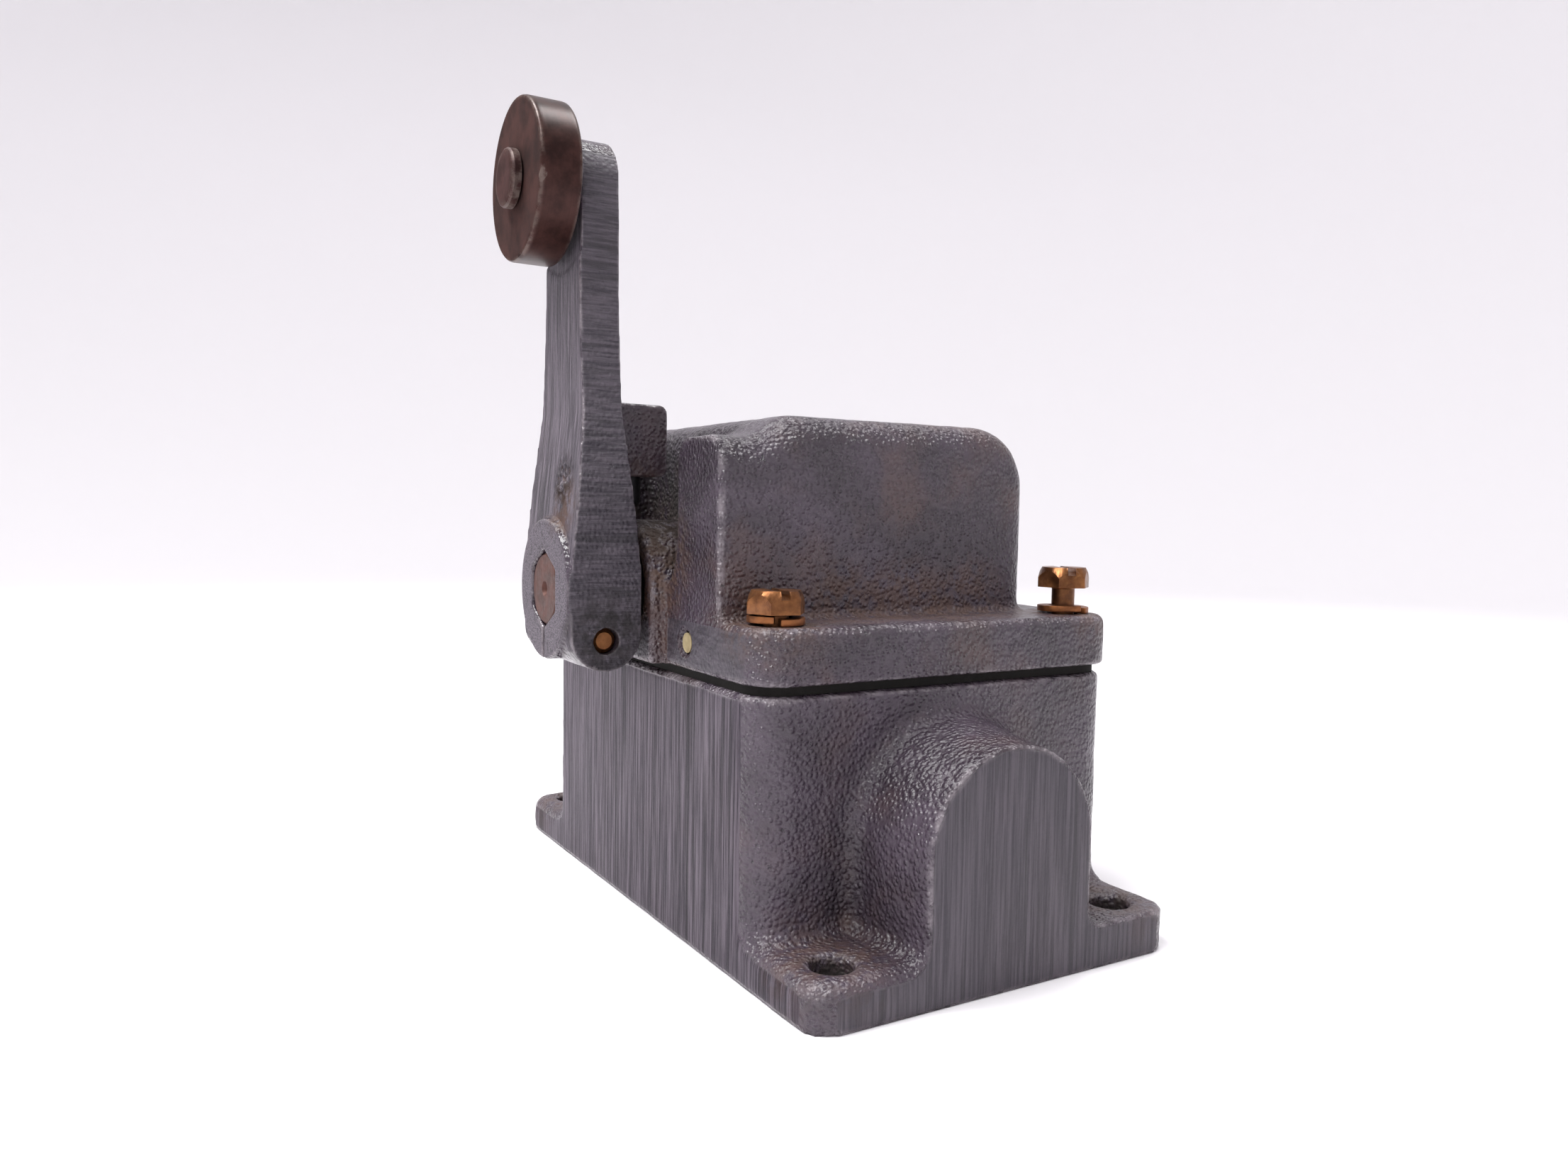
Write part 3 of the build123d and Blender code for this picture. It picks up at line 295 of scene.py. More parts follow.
pits = uneven(cast_skin, place, times(cast_skin, given["Lumps"], 0.55), 3.0, 0.7)
pits = span(cast_skin, pits, *PIT_SPAN)
cast_skin.links.new(minus(cast_skin, height, times(cast_skin, pits, PIT_SHARE)), gives["Height"])
cast_skin.links.new(pits, gives["Pits"])
cast_skin.links.new(uneven(cast_skin, place, 75.0, 7.0, 0.62), gives["Mottle"])

# the fine lines that a grinding wheel leaves, drawn out along one direction
ground_lines, given, gives = start_group("ground_lines",
                                         {"Across X": 1.0, "Across Y": 1.0, "Across Z": 1.0},
                                         ("Lines", "Deep"))
stretch = vector(ground_lines, given["Across X"], given["Across Y"], given["Across Z"])
drawn = add(ground_lines, "VectorMath", {0: spot(ground_lines), 1: stretch}, operation="MULTIPLY")[0]
fine = uneven(ground_lines, drawn, 1.0, 6.0, 0.72)
coarse = uneven(ground_lines, drawn, 0.31, 3.0, 0.6)
ground_lines.links.new(span(ground_lines, fine, 0.38, 0.62), gives["Lines"])
ground_lines.links.new(span(ground_lines, coarse, 0.56, 0.66), gives["Deep"])

# where the surface faces a given way
facing, given, gives = start_group("facing", {"X": 0.0, "Y": 0.0, "Z": 1.0, "Limit": 0.9}, ("Mask",))
way = vector(facing, given["X"], given["Y"], given["Z"])
along = add(facing, "VectorMath", {0: add(facing, "TexCoord")["Normal"], 1: way},
            operation="DOT_PRODUCT")["Value"]
limit = given["Limit"]
facing.links.new(span(facing, along, limit, plus(facing, limit, FACING_BLEND)), gives["Mask"])

# worn corners and filled crevices, broken up by noise
edge_wear, given, gives = start_group("edge_wear", {"Width": 0.04, "Break up": 260.0},
                                      ("Edge", "Crevice"))
bend = add(edge_wear, "NewGeometry")["Pointiness"]
chips = uneven(edge_wear, spot(edge_wear), given["Break up"], 4.0, 0.65)
edge = span(edge_wear, bend, EDGE_BEND, plus(edge_wear, EDGE_BEND, given["Width"]))
hollow = minus(edge_wear, 1.0, span(edge_wear, bend, *CREVICE_SPAN))
edge_wear.links.new(times(edge_wear, edge, span(edge_wear, chips, 0.38, 0.6)), gives["Edge"])
edge_wear.links.new(times(edge_wear, hollow, span(edge_wear, chips, 0.3, 0.62)), gives["Crevice"])

# how near a point is, from 1 at the point to 0 at the reach, broken up by noise
near_point, given, gives = start_group("near_point", {"X": 0.0, "Y": 0.0, "Z": 0.0, "Reach": 0.01},
                                       ("Mask",))
point = vector(near_point, given["X"], given["Y"], given["Z"])
place = spot(near_point)
away = add(near_point, "VectorMath", {0: place, 1: point}, operation="DISTANCE")["Value"]
patchy = span(near_point, uneven(near_point, place, 420.0, 5.0, 0.7), 0.36, 0.58)
full = times(near_point, given["Reach"], 0.35)
close = minus(near_point, 1.0, span(near_point, away, full, given["Reach"]))
near_point.links.new(times(near_point, close, patchy), gives["Mask"])


def painted_casting(name, ground, dirt_and_shade, browned=0.35, relief=1.2):
    """Enamel on cast iron. Each ground face in ground has the way it faces and how strictly, the
    stretch of its lines and their brightness, the cast skin left, the bare metal, and the span along
    an axis that holds it. Each (point, reach, strength, tint) in dirt_and_shade lays a colour round a
    point: settled dirt, and painted shade in hollows and under parts."""
    material, tree = new_material(name)
    skin = use_group(tree, cast_skin, Lumps=LUMPS_PER_METRE)
    wear = use_group(tree, edge_wear)
    position = add(tree, "SeparateXYZ", {0: spot(tree)})
    colour = mix(tree, span(tree, skin["Mottle"], 0.3, 0.7), PAINT_DARK, PAINT_LIGHT)
    stain = span(tree, uneven(tree, spot(tree), 60.0, 6.0, 0.6), 0.45, 0.7)
    colour = mix(tree, times(tree, stain, browned), colour, PAINT_BROWNED)
    colour = mix(tree, times(tree, skin["Pits"], PIT_SHOWS), colour, PIT_DARK)
    rough = plus(tree, ENAMEL_ROUGH, times(tree, skin["Mottle"], MOTTLE_ROUGHER))
    height = times(tree, skin["Height"], relief)
    metal = times(tree, wear["Edge"], WORN_METALLIC)

    for face in ground:
        x, y, z = face["way"]
        place = position[face["axis"]]
        inside = times(tree, calc(tree, "GREATER_THAN", place, face["low"] * MM),
                       calc(tree, "LESS_THAN", place, face["high"] * MM))
        mask = times(tree, use_group(tree, facing, X=x, Y=y, Z=z, Limit=face["limit"])["Mask"], inside)
        x, y, z = face["stretch"]
        marks = use_group(tree, ground_lines, Across_X=x, Across_Y=y, Across_Z=z)
        tone = mix(tree, times(tree, marks["Lines"], face["bright"]), GROUND_DARK, GROUND_LIGHT)
        tone = mix(tree, times(tree, marks["Deep"], SCORE_SHOWS), tone, SCORE_DARK)
        colour = mix(tree, times(tree, mask, GROUND_SHOWS), colour, tone)
        lined = plus(tree, times(tree, marks["Lines"], LINE_HEIGHT),
                     times(tree, skin["Height"], relief * face["skin_left"]))
        height = add(tree, "Mix", {0: mask, 2: height, 3: lined})[0]
        metal = calc(tree, "MAXIMUM", metal, times(tree, mask, face["bare"]))
        rough = plus(tree, rough, times(tree, mask, GROUND_ROUGHER))

    colour = mix(tree, times(tree, wear["Edge"], WEAR_SHOWS), colour, PAINT_WORN)
    colour = mix(tree, times(tree, wear["Crevice"], CREVICE_SHOWS), colour, DUST)
    rough = plus(tree, rough, times(tree, wear["Crevice"], CREVICE_ROUGHER), clamp=True)
    # settled dirt and painted shade: each patch tints the colour round its point and makes it rougher
    for (x, y, z), reach, strength, tint in dirt_and_shade:
        mask = use_group(tree, near_point, X=x * MM, Y=y * MM, Z=z * MM, Reach=reach * MM)["Mask"]
        mask = times(tree, mask, strength)
        colour = mix(tree, mask, colour, tint)
        rough = plus(tree, rough, times(tree, mask, DIRT_AND_SHADE_ROUGHER), clamp=True)
    close_material(tree, {"Base Color": colour, "Roughness": rough, "Metallic": metal,
                          "Normal": bump(tree, height, CASTING_BUMP), "Specular IOR Level": 0.5})
    return material


def finish_modifier(piece, kind, **settings):
    activate(piece)
    modifier = piece.modifiers.new(kind.lower(), kind)
    for key, value in settings.items():
        setattr(modifier, key, value)
    bpy.ops.object.modifier_apply(modifier=modifier.name)


def cast_copy(node_name, piece_name, grid, skin_depth, machined):
    """A casting made from the CAD node: meshed again on a fine grid, its corners rubbed round, and its
    skin made uneven everywhere but on the machined planes, each given as (axis, millimetres)."""
    piece = new_piece(piece_name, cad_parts[node_name].data.copy())
    piece.data.materials.clear()
    open_mesh(piece)
    bpy.ops.mesh.remove_doubles(threshold=1e-6)
    bpy.ops.object.mode_set(mode="OBJECT")
    finish_modifier(piece, "REMESH", mode="VOXEL", voxel_size=grid, use_smooth_shade=True)
    finish_modifier(piece, "SMOOTH", factor=0.5, iterations=ROUNDING_PASSES)
    mesh = piece.data
    shifts = []
    for vertex in mesh.vertices:
        if any(abs(vertex.co[axis] - plane * MM) < MACHINED_BAND for axis, plane in machined):
            shifts.append(None)
            continue
        broad = noise.noise(vertex.co / BROAD_LUMP)
        fine = noise.noise(vertex.co / FINE_LUMP + Vector((7, 3, 5)))
        shifts.append(vertex.normal * skin_depth * (0.6 * broad + 0.4 * fine - 0.25))
    low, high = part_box(node_name)
    for vertex, shift in zip(mesh.vertices, shifts):
        if shift is not None:
            vertex.co += shift
        for axis in range(3):
            vertex.co[axis] = min(max(vertex.co[axis], low[axis]), high[axis])
    mesh.update()
    return piece


lever_side_face = dict(way=(-1, 0, 0), limit=0.93, stretch=(500.0, 2300.0, 45.0), bright=0.85,
                       skin_left=0.05, bare=0.85, axis=0, low=-40, high=-34.2)
end_face = dict(limit=0.93, stretch=(2300.0, 500.0, 50.0), bright=0.33, skin_left=0.10, bare=0.1, axis=1)
front_face = dict(end_face, way=(0, -1, 0), low=-60, high=-58.3)
rear_face = dict(end_face, way=(0, 1, 0), low=58.3, high=60)
FEET = [(x, y) for x in (-1, 1) for y in (-1, 1)]
# brown dust round the feet, and painted shade, near black, inside the foot holes where the floor shuts out
# the light
housing_dirt_and_shade = ([((x * 27.0, y * 50.0, 7.0), 12.0, 0.45, DUST) for x, y in FEET]
                + [((x * 27.0, y * 51.5, 3.0), 7.0, 1.0, GRIME_AND_SHADE) for x, y in FEET])

housing_casting = cast_copy("base_housing", "housing_casting", HOUSING_GRID, HOUSING_SKIN,
                            HOUSING_MACHINED)
housing_casting.data.materials.append(painted_casting(
    "housing_enamel", [lever_side_face, front_face, rear_face], housing_dirt_and_shade))
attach(housing_casting, "housing")
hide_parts("base_housing")


# ---- Top cover ----
# The second casting: a flange with a deep dome, two ears that stop the lever, and the shaft boss
# between them. Same enamel, browned by oil; the lever side of the flange and boss is ground.
COVER_GRID, COVER_SKIN = 0.62 * MM, 0.15 * MM
COVER_MACHINED = ((0, -34.4), (0, -37.1), (2, 44.3))

flange_side_face = dict(way=(-1, 0, 0), limit=0.93, stretch=(400.0, 260.0, 1300.0), bright=0.20,
                        skin_left=0.5, bare=0.1, axis=2, low=40, high=52.0)
# brown dust on the shaft boss and round the flange, and painted shade, near black, deep in the recess
# between the ears
cover_dirt_and_shade = ([((-30.0, y * 9.0, 62.0), 15.0, 0.95, DUST) for y in (-1, 1)]
              + [((-25.5, y * 9.0, 70.0), 19.0, 0.75, GRIME_AND_SHADE) for y in (-1, 1)]
              + [((x, y * 35.8, 52.8), 10.0, 0.85, DUST) for x in (-27.8, 30.0) for y in (-1, 1)]
              + [((x, y * 31.5, 53.0), 12.0, 0.6, DUST) for x in (-13.0, 0.0, 13.0) for y in (-1, 1)])

cover_casting = cast_copy("top_cover", "cover_casting", COVER_GRID, COVER_SKIN, COVER_MACHINED)
cover_casting.data.materials.append(painted_casting(
    "cover_enamel", [flange_side_face], cover_dirt_and_shade, browned=0.75, relief=1.5))
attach(cover_casting, "housing")
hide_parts("top_cover")


# ---- Operating lever ----
# A cast iron arm split and clamped on the hexagon shaft, with a stop lug on its inner side. Its outer
# face is ground along its length, its hub faced off, and its two sides ground across.
LEVER_GRID, LEVER_SKIN = 0.34 * MM, 0.10 * MM
LEVER_MACHINED = ((0, -51.2), (0, -48.1), (0, -47.8), (0, -38.6))
BURR_PLACE = Vector((-49.3, -4.0, 73.8)) * MM
BURR_REACH = 5.5 * MM
BURR_HEIGHT = BURR_LUMP = 0.9 * MM

arm_face = dict(way=(-1, 0, 0), limit=0.88, stretch=(500.0, 2000.0, 75.0), bright=0.74,
                skin_left=0.3, bare=0.35, axis=0, low=-50.8, high=-44)
hub_face = dict(way=(-1, 0, 0), limit=0.88, stretch=(900.0, 3500.0, 3500.0), bright=1.0,
                skin_left=0.01, bare=0.55, axis=0, low=-60, high=-50.8)
arm_side = dict(limit=0.80, stretch=(120.0, 500.0, 1900.0), bright=0.36, skin_left=0.9, bare=0.1, axis=1)
arm_front = dict(arm_side, way=(0, -1, 0), low=-20, high=-5)
arm_rear = dict(arm_side, way=(0, 1, 0), low=5, high=20)
# brown dust in three places, grime on the burr, and painted shade low on the lever's front side by the
# cover flange
lever_dirt_and_shade = [((-38.0, 0.0, 72.0), 10.0, 0.5, DUST), ((-38.6, 0.0, 62.0), 12.0, 0.5, DUST),
              ((-48.6, -5.5, 69.6), 6.5, 0.8, DUST), ((-49.3, -4.0, 73.8), 6.0, 0.6, GRIME_AND_SHADE),
              ((-44.6, -12.0, 49.5), 9.0, 0.7, GRIME_AND_SHADE)]

lever_casting = cast_copy("operating_lever", "lever_casting", LEVER_GRID, LEVER_SKIN, LEVER_MACHINED)
for vertex in lever_casting.data.vertices:
    reach = (vertex.co - BURR_PLACE).length / BURR_REACH
    if reach < 1 and vertex.normal.x < -0.4:
        lump = noise.noise(vertex.co / BURR_LUMP) * (1 - reach)
        vertex.co += vertex.normal * BURR_HEIGHT * lump
lever_casting.data.update()
lever_casting.data.materials.append(painted_casting(
    "lever_enamel", [arm_face, hub_face, arm_front, arm_rear], lever_dirt_and_shade, relief=0.7))
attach(lever_casting, "lever_and_shaft")
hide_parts("operating_lever")


# ---- Cover screws ----
# Four number 10 brass screws with slotted hexagon heads and necks turned down so that they stay in
# the cover when it is lifted. Two stand unscrewed by a turn or more.
HEAD_CORNER_R = 7.94 / 2 / math.cos(math.radians(30)) * MM
HEAD_T = 3.45 * MM
HEAD_BEVEL = 0.13 * MM
SLOT_W, SLOT_DEPTH = 1.4 * MM, 1.3 * MM
NECK_R = 1.95 * MM
THREAD_R, THREAD_DEPTH, THREAD_TURNS = 2.4 * MM, 0.35 * MM, 14
NECK_LENGTH = 10.0 * MM
THREAD_LENGTH = 11.0 * MM
SMALL_PART_SMOOTH_UNDER = math.radians(35)
SCREW_SEATS = ((-27.75, -35.8, 54.5, -99), (30.05, -35.8, 57.25, -114),
               (-27.75, 35.8, 54.3, 40), (30.05, 35.8, 54.3, -25))
BRASS, BRASS_TARNISH = (0.235, 0.098, 0.036, 1), (0.090, 0.034, 0.014, 1)
CREVICE_DIRT = (0.035, 0.025, 0.018, 1)
METAL_BUMP = 0.7


def worn_metal(name, colour, dark, roughness, metallic=1.0, stretch=(900.0, 900.0, 900.0), relief=0.02):
    """Bare metal with a patchy tarnish, fine tool marks, dirt in its hollows and brighter corners."""
    material, tree = new_material(name)
    patches = uneven(tree, spot(tree), 330.0, 6.0, 0.65)
    x, y, z = stretch
    marks = use_group(tree, ground_lines, Across_X=x, Across_Y=y, Across_Z=z)
    wear = use_group(tree, edge_wear, Width=0.06, Break_up=700.0)
    tone = mix(tree, span(tree, patches, 0.3, 0.68), dark, colour)
    tone = mix(tree, times(tree, marks["Deep"], 0.35), tone, dark)
    tone = mix(tree, times(tree, wear["Crevice"], 0.5), tone, CREVICE_DIRT)
    rough = plus(tree, roughness, times(tree, patches, 0.18))
    rough = minus(tree, rough, times(tree, wear["Edge"], 0.1))
    height = plus(tree, times(tree, marks["Lines"], relief), times(tree, patches, relief))
    close_material(tree, {"Base Color": tone, "Roughness": rough, "Metallic": metallic,
                          "Normal": bump(tree, height, METAL_BUMP)})
    return material


def cut(piece, cutter, operation="DIFFERENCE"):
    finish_modifier(piece, "BOOLEAN", object=cutter, operation=operation, solver="EXACT")
    bpy.data.objects.remove(cutter)


def hexagon_head(name, corner_r, height, slot_w, slot_depth):
    """A hexagon head standing on z = 0, its top corners turned off, with a screwdriver slot."""
    bpy.ops.object.select_all(action="DESELECT")
    bpy.ops.mesh.primitive_cylinder_add(vertices=6, radius=corner_r, depth=height,
                                        location=(0, 0, height / 2))
    head = bpy.context.object
    head.name = name
    bpy.ops.object.transform_apply(location=True, rotation=True, scale=True)
    flat_r = corner_r * math.cos(math.radians(30))
    cone_profile = [(0, -height), (corner_r * 1.55, -height), (flat_r * 0.93, height), (0, height)]
    cut(head, spun("cone", cone_profile, 72, (0, 0, 1)), "INTERSECT")
    bpy.ops.mesh.primitive_cube_add(size=1, location=(0, 0, height))
    slot = bpy.context.object
    slot.scale = (corner_r * 3, slot_w, slot_depth * 2)
    activate(slot)
    bpy.ops.object.transform_apply(location=True, rotation=True, scale=True)
    cut(head, slot)
    finish_modifier(head, "BEVEL", width=HEAD_BEVEL, segments=2, limit_method="ANGLE",
                    angle_limit=math.radians(28))
    bpy.ops.object.shade_smooth_by_angle(angle=SMALL_PART_SMOOTH_UNDER)
    return head


def join(pieces, name):
    bpy.ops.object.select_all(action="DESELECT")
    for piece in pieces:
        piece.select_set(True)
    bpy.context.view_layer.objects.active = pieces[0]
    bpy.ops.object.join()
    pieces[0].name = name
    return pieces[0]


def set_down(piece, place, turn):
    """Turns a piece round its upright axis, in degrees, and moves it to a place in millimetres."""
    piece.data.transform(Matrix.Translation(Vector(place) * MM)
                         @ Matrix.Rotation(math.radians(turn), 4, "Z"))


shank_profile = [(0, 0.3 * MM), (NECK_R + 0.25 * MM, 0.3 * MM), (NECK_R + 0.2 * MM, -0.05 * MM),
                 (NECK_R, -0.3 * MM), (NECK_R, -NECK_LENGTH)]
pitch = THREAD_LENGTH / THREAD_TURNS
for step in range(THREAD_TURNS):
    top = -NECK_LENGTH - step / THREAD_TURNS * THREAD_LENGTH
    shank_profile += [(THREAD_R - THREAD_DEPTH, top - 0.1 * pitch), (THREAD_R, top - 0.45 * pitch),
                      (THREAD_R, top - 0.6 * pitch), (THREAD_R - THREAD_DEPTH, top - 0.95 * pitch)]
shank_profile += [(THREAD_R - 0.7 * MM, -NECK_LENGTH - THREAD_LENGTH), (0, -NECK_LENGTH - THREAD_LENGTH)]

brass = worn_metal("screw_brass", BRASS, BRASS_TARNISH, 0.30, metallic=0.85, relief=0.03)
for count, (x, y, seat, turn) in enumerate(SCREW_SEATS):
    head = hexagon_head(f"screw_head_{count}", HEAD_CORNER_R, HEAD_T, SLOT_W, SLOT_DEPTH)
    shank = spun(f"screw_shank_{count}", shank_profile, 40, (0, 0, 1))
    screw = join([head, shank], f"cover_screw_{count + 1}")
    set_down(screw, (x, y, seat), turn)
    screw.data.materials.clear()
    screw.data.materials.append(brass)
    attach(screw, "housing")
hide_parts("cover_screws")


# ---- Cover lock washers ----
# Split bronze spring washers, one coil of square wire each, the ends sprung apart. They lie on the
# flange of the cover, round the screws' necks.
WASHER_BORE_R, WASHER_R, WASHER_T = 2.5 * MM, 4.35 * MM, 1.1 * MM
WASHER_DRAFT = 0.05 * MM
WASHER_RISE, WASHER_SWEEP = 0.4 * MM, math.radians(346)
WASHER_SEAT_Z = 52.8
WASHER_TURNS = (-110, -75, 40, 160)
BRONZE, BRONZE_TARNISH = (0.300, 0.115, 0.042, 1), (0.110, 0.042, 0.018, 1)

bronze = worn_metal("washer_bronze", BRONZE, BRONZE_TARNISH, 0.34, metallic=0.85, relief=0.03)
wire_corners = [(WASHER_BORE_R, 0, 0), (WASHER_R, 0, WASHER_DRAFT), (WASHER_R, 0, WASHER_T - WASHER_DRAFT),
                (WASHER_BORE_R, 0, WASHER_T)]
for count, (screw_seat, turn) in enumerate(zip(SCREW_SEATS, WASHER_TURNS)):
    mesh = bpy.data.meshes.new("washer")
    mesh.from_pydata(wire_corners, [(0, 1), (1, 2), (2, 3), (3, 0)], [])
    washer = new_piece(f"cover_lock_washer_{count + 1}", mesh)
    finish_modifier(washer, "SCREW", angle=WASHER_SWEEP, screw_offset=WASHER_RISE, steps=72,
                    render_steps=72, axis="Z", use_merge_vertices=False)
    open_mesh(washer)
    bpy.ops.mesh.select_all(action="DESELECT")
    bpy.ops.mesh.select_non_manifold()
    bpy.ops.mesh.edge_face_add()
    bpy.ops.mesh.select_all(action="SELECT")
    bpy.ops.mesh.normals_make_consistent(inside=False)
    bpy.ops.object.mode_set(mode="OBJECT")
    finish_modifier(washer, "BEVEL", width=0.12 * MM, segments=2, limit_method="ANGLE",
                    angle_limit=math.radians(40))
    bpy.ops.object.shade_smooth_by_angle(angle=SMALL_PART_SMOOTH_UNDER)
    set_down(washer, (screw_seat[0], screw_seat[1], WASHER_SEAT_Z), turn)
    washer.data.materials.append(bronze)
    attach(washer, "housing")
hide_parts("cover_lock_washers")


# ---- Roller ----
# A hardened steel roller, turned all over, browned by oil and polished by the track it runs on. It
# turns freely on the pin at the lever's tip.
AXIS_Z = 121.2 * MM
ROLLER_R, ROLLER_BORE_R = 12.7 * MM, 3.225 * MM
ROLLER_X0, ROLLER_X1 = -55.9 * MM, -49.2 * MM
# the rounded rim, as millimetres in from the rim and in from the side
RIM_ROUNDING = ((0.95, 0), (0.55, 0), (0.25, 0.10), (0.06, 0.32), (0, 0.7), (0, 1.1))
OILED_STEEL, OILED_STEEL_DARK = (0.046, 0.019, 0.016, 1), (0.016, 0.0065, 0.0055, 1)
RUBBED_STEEL = (0.16, 0.125, 0.11, 1)
SIDE_ROUGHER = 0.55


def turned_steel(name, colour, dark, roughness, centre, rings=1400.0):
    """Turned steel: fine rings round the X axis through centre, patchy browning and bright corners."""
    material, tree = new_material(name)
    place = spot(tree)
    moved = add(tree, "VectorMath", {0: place, 1: centre}, operation="SUBTRACT")[0]
    parts = add(tree, "SeparateXYZ", {0: moved})
    flat = vector(tree, 0.0, parts[1], parts[2])
    radius = add(tree, "VectorMath", {0: flat}, operation="LENGTH")["Value"]
    marks = uneven(tree, vector(tree, parts[0], radius, 0.0), rings, 5.0, 0.75)
    patches = uneven(tree, place, 160.0, 7.0, 0.68)
    wear = use_group(tree, edge_wear, Width=0.05, Break_up=500.0)
    tone = mix(tree, span(tree, patches, 0.32, 0.66), dark, colour)
    tone = mix(tree, times(tree, span(tree, marks, 0.5, 0.7), 0.35), tone, dark)
    tone = mix(tree, times(tree, wear["Edge"], 0.6), tone, RUBBED_STEEL)
    side = use_group(tree, facing, X=-1.0, Y=0.0, Z=0.0, Limit=0.8)["Mask"]
    rough = plus(tree, roughness, times(tree, patches, 0.2))
    rough = plus(tree, rough, times(tree, side, SIDE_ROUGHER), clamp=True)
    height = plus(tree, times(tree, marks, 0.03), times(tree, patches, 0.02))
    close_material(tree, {"Base Color": tone, "Roughness": rough, "Metallic": 0.25,
                          "Normal": bump(tree, height, METAL_BUMP), "Specular IOR Level": 0.14})
    return material


half_w = (ROLLER_X1 - ROLLER_X0) / 2
outer_rim = [(ROLLER_R - inward * MM, -half_w + deep * MM) for inward, deep in RIM_ROUNDING]
inner_rim = [(ROLLER_R - inward * MM, half_w - deep * MM) for inward, deep in reversed(RIM_ROUNDING)]
roller_profile = ([(ROLLER_BORE_R, -half_w + 0.25 * MM), (ROLLER_BORE_R + 0.25 * MM, -half_w),
                   (ROLLER_BORE_R + 0.6 * MM, -half_w), (ROLLER_R - 3.0 * MM, -half_w)]
                  + outer_rim + [(ROLLER_R, 0.0)] + inner_rim
                  + [(ROLLER_BORE_R + 0.6 * MM, half_w), (ROLLER_BORE_R + 0.25 * MM, half_w),
                     (ROLLER_BORE_R, half_w - 0.25 * MM), (ROLLER_BORE_R, -half_w + 0.25 * MM)])
roller = spun("track_roller", roller_profile, 144, (1, 0, 0), ((ROLLER_X0 + ROLLER_X1) / 2, 0, AXIS_Z))
roller.data.materials.append(turned_steel("roller_browned", OILED_STEEL, OILED_STEEL_DARK, 0.22,
                                          (0, 0, AXIS_Z)))
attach(roller, "roller")
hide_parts("lever_roller")


# ---- Roller pin ----
# A headed steel pin through the roller and the lever's tip, riveted over at the back. Its head has
# the same browning as the roller, a little duller.
PIN_HEAD_R, PIN_HEAD_X0, PIN_HEAD_X1 = 4.6 * MM, -57.85 * MM, -56.15 * MM
PIN_R = 3.175 * MM
TAIL_X0, TAIL_X1, TAIL_R = -41.4 * MM, -40.6 * MM, 4.2 * MM
PIN_BROWN, PIN_BROWN_DARK = (0.060, 0.027, 0.025, 1), (0.026, 0.012, 0.011, 1)

pin_profile = [(0, PIN_HEAD_X0 + 0.10 * MM), (1.5 * MM, PIN_HEAD_X0 + 0.07 * MM),
               (3.2 * MM, PIN_HEAD_X0), (4.1 * MM, PIN_HEAD_X0 + 0.08 * MM),
               (4.42 * MM, PIN_HEAD_X0 + 0.28 * MM), (PIN_HEAD_R, PIN_HEAD_X0 + 0.55 * MM),
               (PIN_HEAD_R, PIN_HEAD_X1 - 0.1 * MM), (PIN_HEAD_R - 0.1 * MM, PIN_HEAD_X1),
               (PIN_R, PIN_HEAD_X1), (PIN_R, TAIL_X0), (TAIL_R, TAIL_X0),
               (TAIL_R, TAIL_X0 + 0.25 * MM), (TAIL_R - 0.35 * MM, TAIL_X1 - 0.1 * MM),
               (TAIL_R - 1.2 * MM, TAIL_X1), (1.2 * MM, TAIL_X1 - 0.15 * MM),
               (0, TAIL_X1 - 0.25 * MM)]
pin = spun("headed_roller_pin", pin_profile, 96, (1, 0, 0), (0, 0, AXIS_Z))
pin.data.materials.append(turned_steel("pin_browned", PIN_BROWN, PIN_BROWN_DARK, 0.40, (0, 0, AXIS_Z),
                                       rings=900.0))
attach(pin, "lever_and_shaft")
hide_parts("roller_pin")


# ---- Pieces kept as machined ----
# Shafts, bushes, screws and contacts whose turned or stamped shape is already right, and the moulded
# and cut sheet pieces. Each has the finish of its own stock.
PIN_BRASS, PIN_BRASS_DARK = (0.52, 0.43, 0.25, 1), (0.30, 0.23, 0.12, 1)
SHAFT_BROWN, SHAFT_BROWN_DARK = (0.090, 0.034, 0.025, 1), (0.042, 0.017, 0.012, 1)
BLACKENED, BLACKENED_DARK = (0.022, 0.022, 0.024, 1), (0.010, 0.010, 0.011, 1)
SPRING_GREY, SPRING_GREY_DARK = (0.22, 0.22, 0.23, 1), (0.10, 0.10, 0.11, 1)
ZINC, ZINC_DARK = (0.55, 0.55, 0.53, 1), (0.32, 0.32, 0.31, 1)
COPPER, COPPER_DARK = (0.62, 0.30, 0.17, 1), (0.34, 0.14, 0.08, 1)
GASKET_BLACK = (0.004, 0.0035, 0.003, 1)
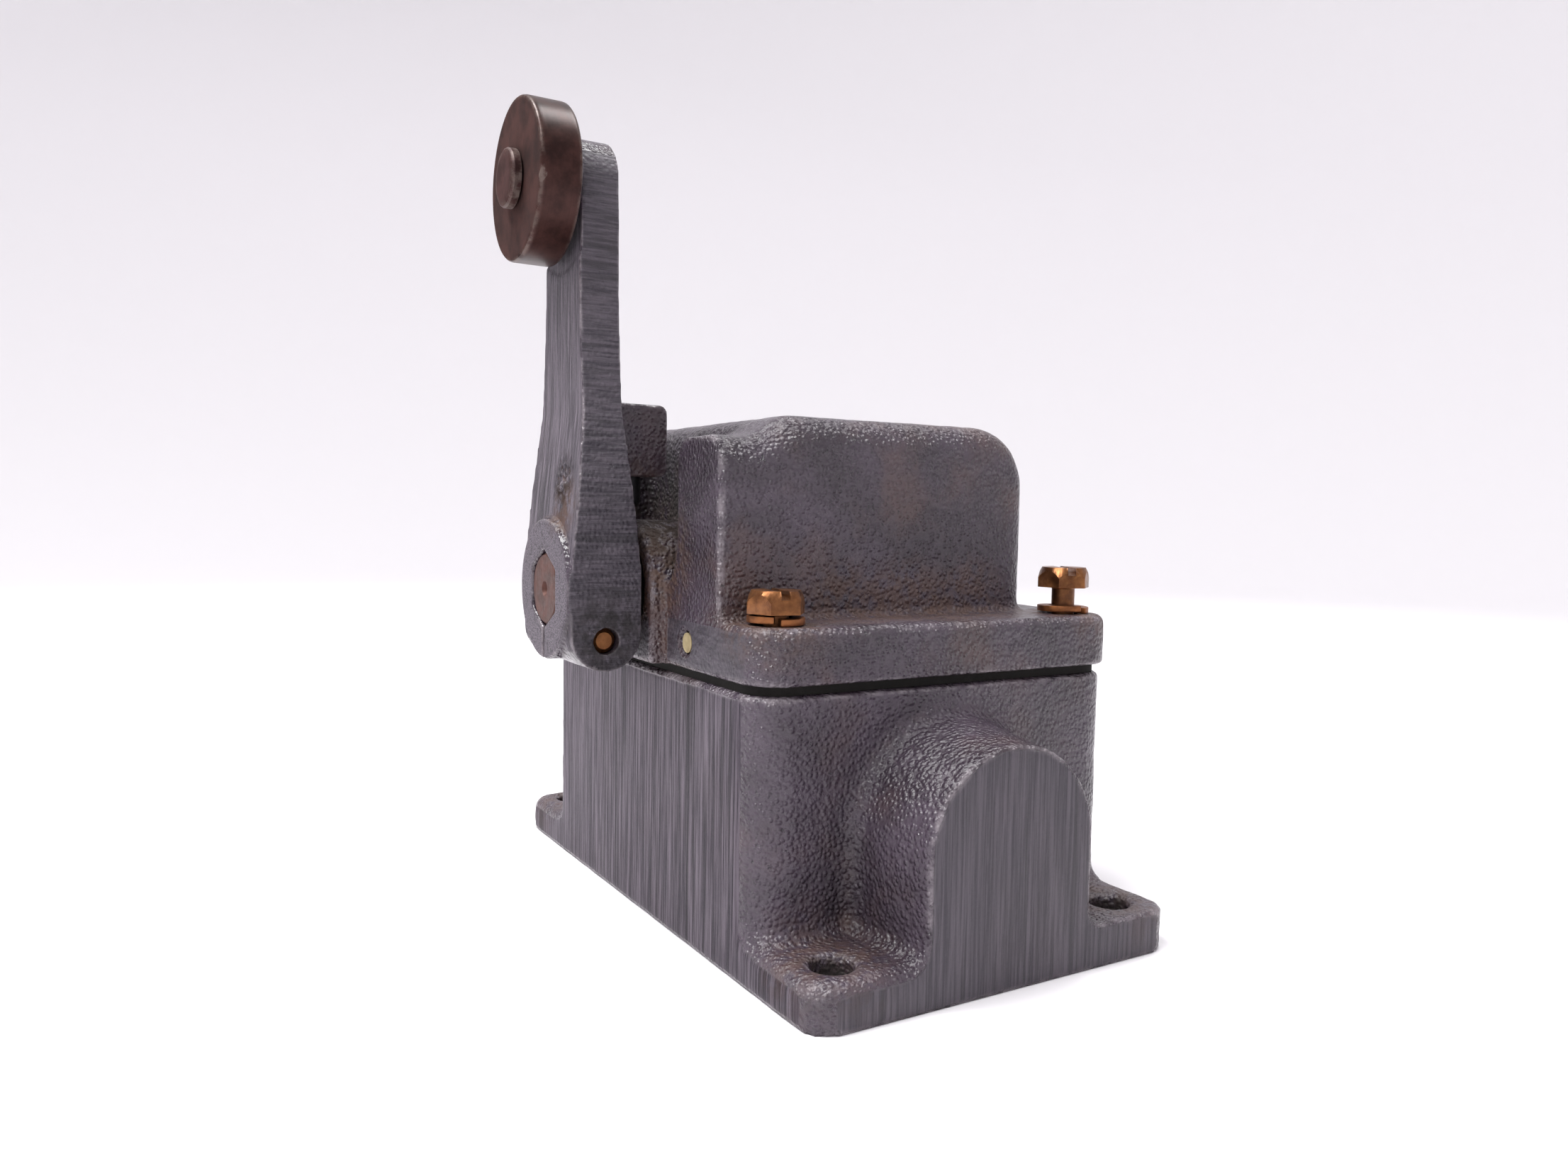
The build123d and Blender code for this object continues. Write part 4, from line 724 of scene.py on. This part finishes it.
PHENOLIC_BLACK = (0.018, 0.013, 0.011, 1)
MOULDED_BUMP, MOULDED_DEPTH = 0.6, 0.3 * MM


def finish_as(material, *names):
    for name in names:
        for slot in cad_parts[name].material_slots:
            slot.material = material


def moulded(name, colour, roughness, relief):
    """A moulded or cut sheet material: even colour with faint mottle and a fine matt grain."""
    material, tree = new_material(name)
    place = spot(tree)
    cloud = uneven(tree, place, 140.0, 6.0, 0.6)
    grain = uneven(tree, place, 3200.0, 3.0)
    lighter = tuple(c * 1.9 for c in colour[:3]) + (1,)
    close_material(tree, {
        "Base Color": mix(tree, span(tree, cloud, 0.3, 0.72), colour, lighter),
        "Roughness": plus(tree, roughness, times(tree, cloud, 0.2)),
        "Normal": bump(tree, times(tree, grain, relief), MOULDED_BUMP, MOULDED_DEPTH),
        "Specular IOR Level": 0.2})
    return material


finish_as(worn_metal("pin_brass", PIN_BRASS, PIN_BRASS_DARK, 0.4, metallic=0.45), "spring_anchor_pins")
finish_as(brass, "clamp_screw", "terminal_plates", "terminal_screws")
finish_as(bronze, "clamp_lock_washer", "thrust_washer", "contact_fingers", "shaft_bush", "end_bush")
finish_as(worn_metal("shaft_patina", SHAFT_BROWN, SHAFT_BROWN_DARK, 0.50, metallic=0.5, relief=0.04,
                     stretch=(300.0, 1500.0, 200.0)), "operating_shaft")
finish_as(worn_metal("blackened_steel", BLACKENED, BLACKENED_DARK, 0.45, metallic=0.6), "stop_pin")
finish_as(worn_metal("spring_wire", SPRING_GREY, SPRING_GREY_DARK, 0.3), "return_spring",
          "shaft_retaining_ring")
finish_as(worn_metal("zinc_plate", ZINC, ZINC_DARK, 0.34), "contact_block_screws", "spring_driver",
          "driver_pin", "drum_pin", "roller_washer")
finish_as(worn_metal("hard_copper", COPPER, COPPER_DARK, 0.28), "finger_tips", "drum_segments")
finish_as(moulded("gasket_sheet", GASKET_BLACK, 0.75, 0.3), "cover_gasket", "shaft_seal")
finish_as(moulded("black_phenolic", PHENOLIC_BLACK, 0.32, 0.08), "contact_block", "contact_drum")
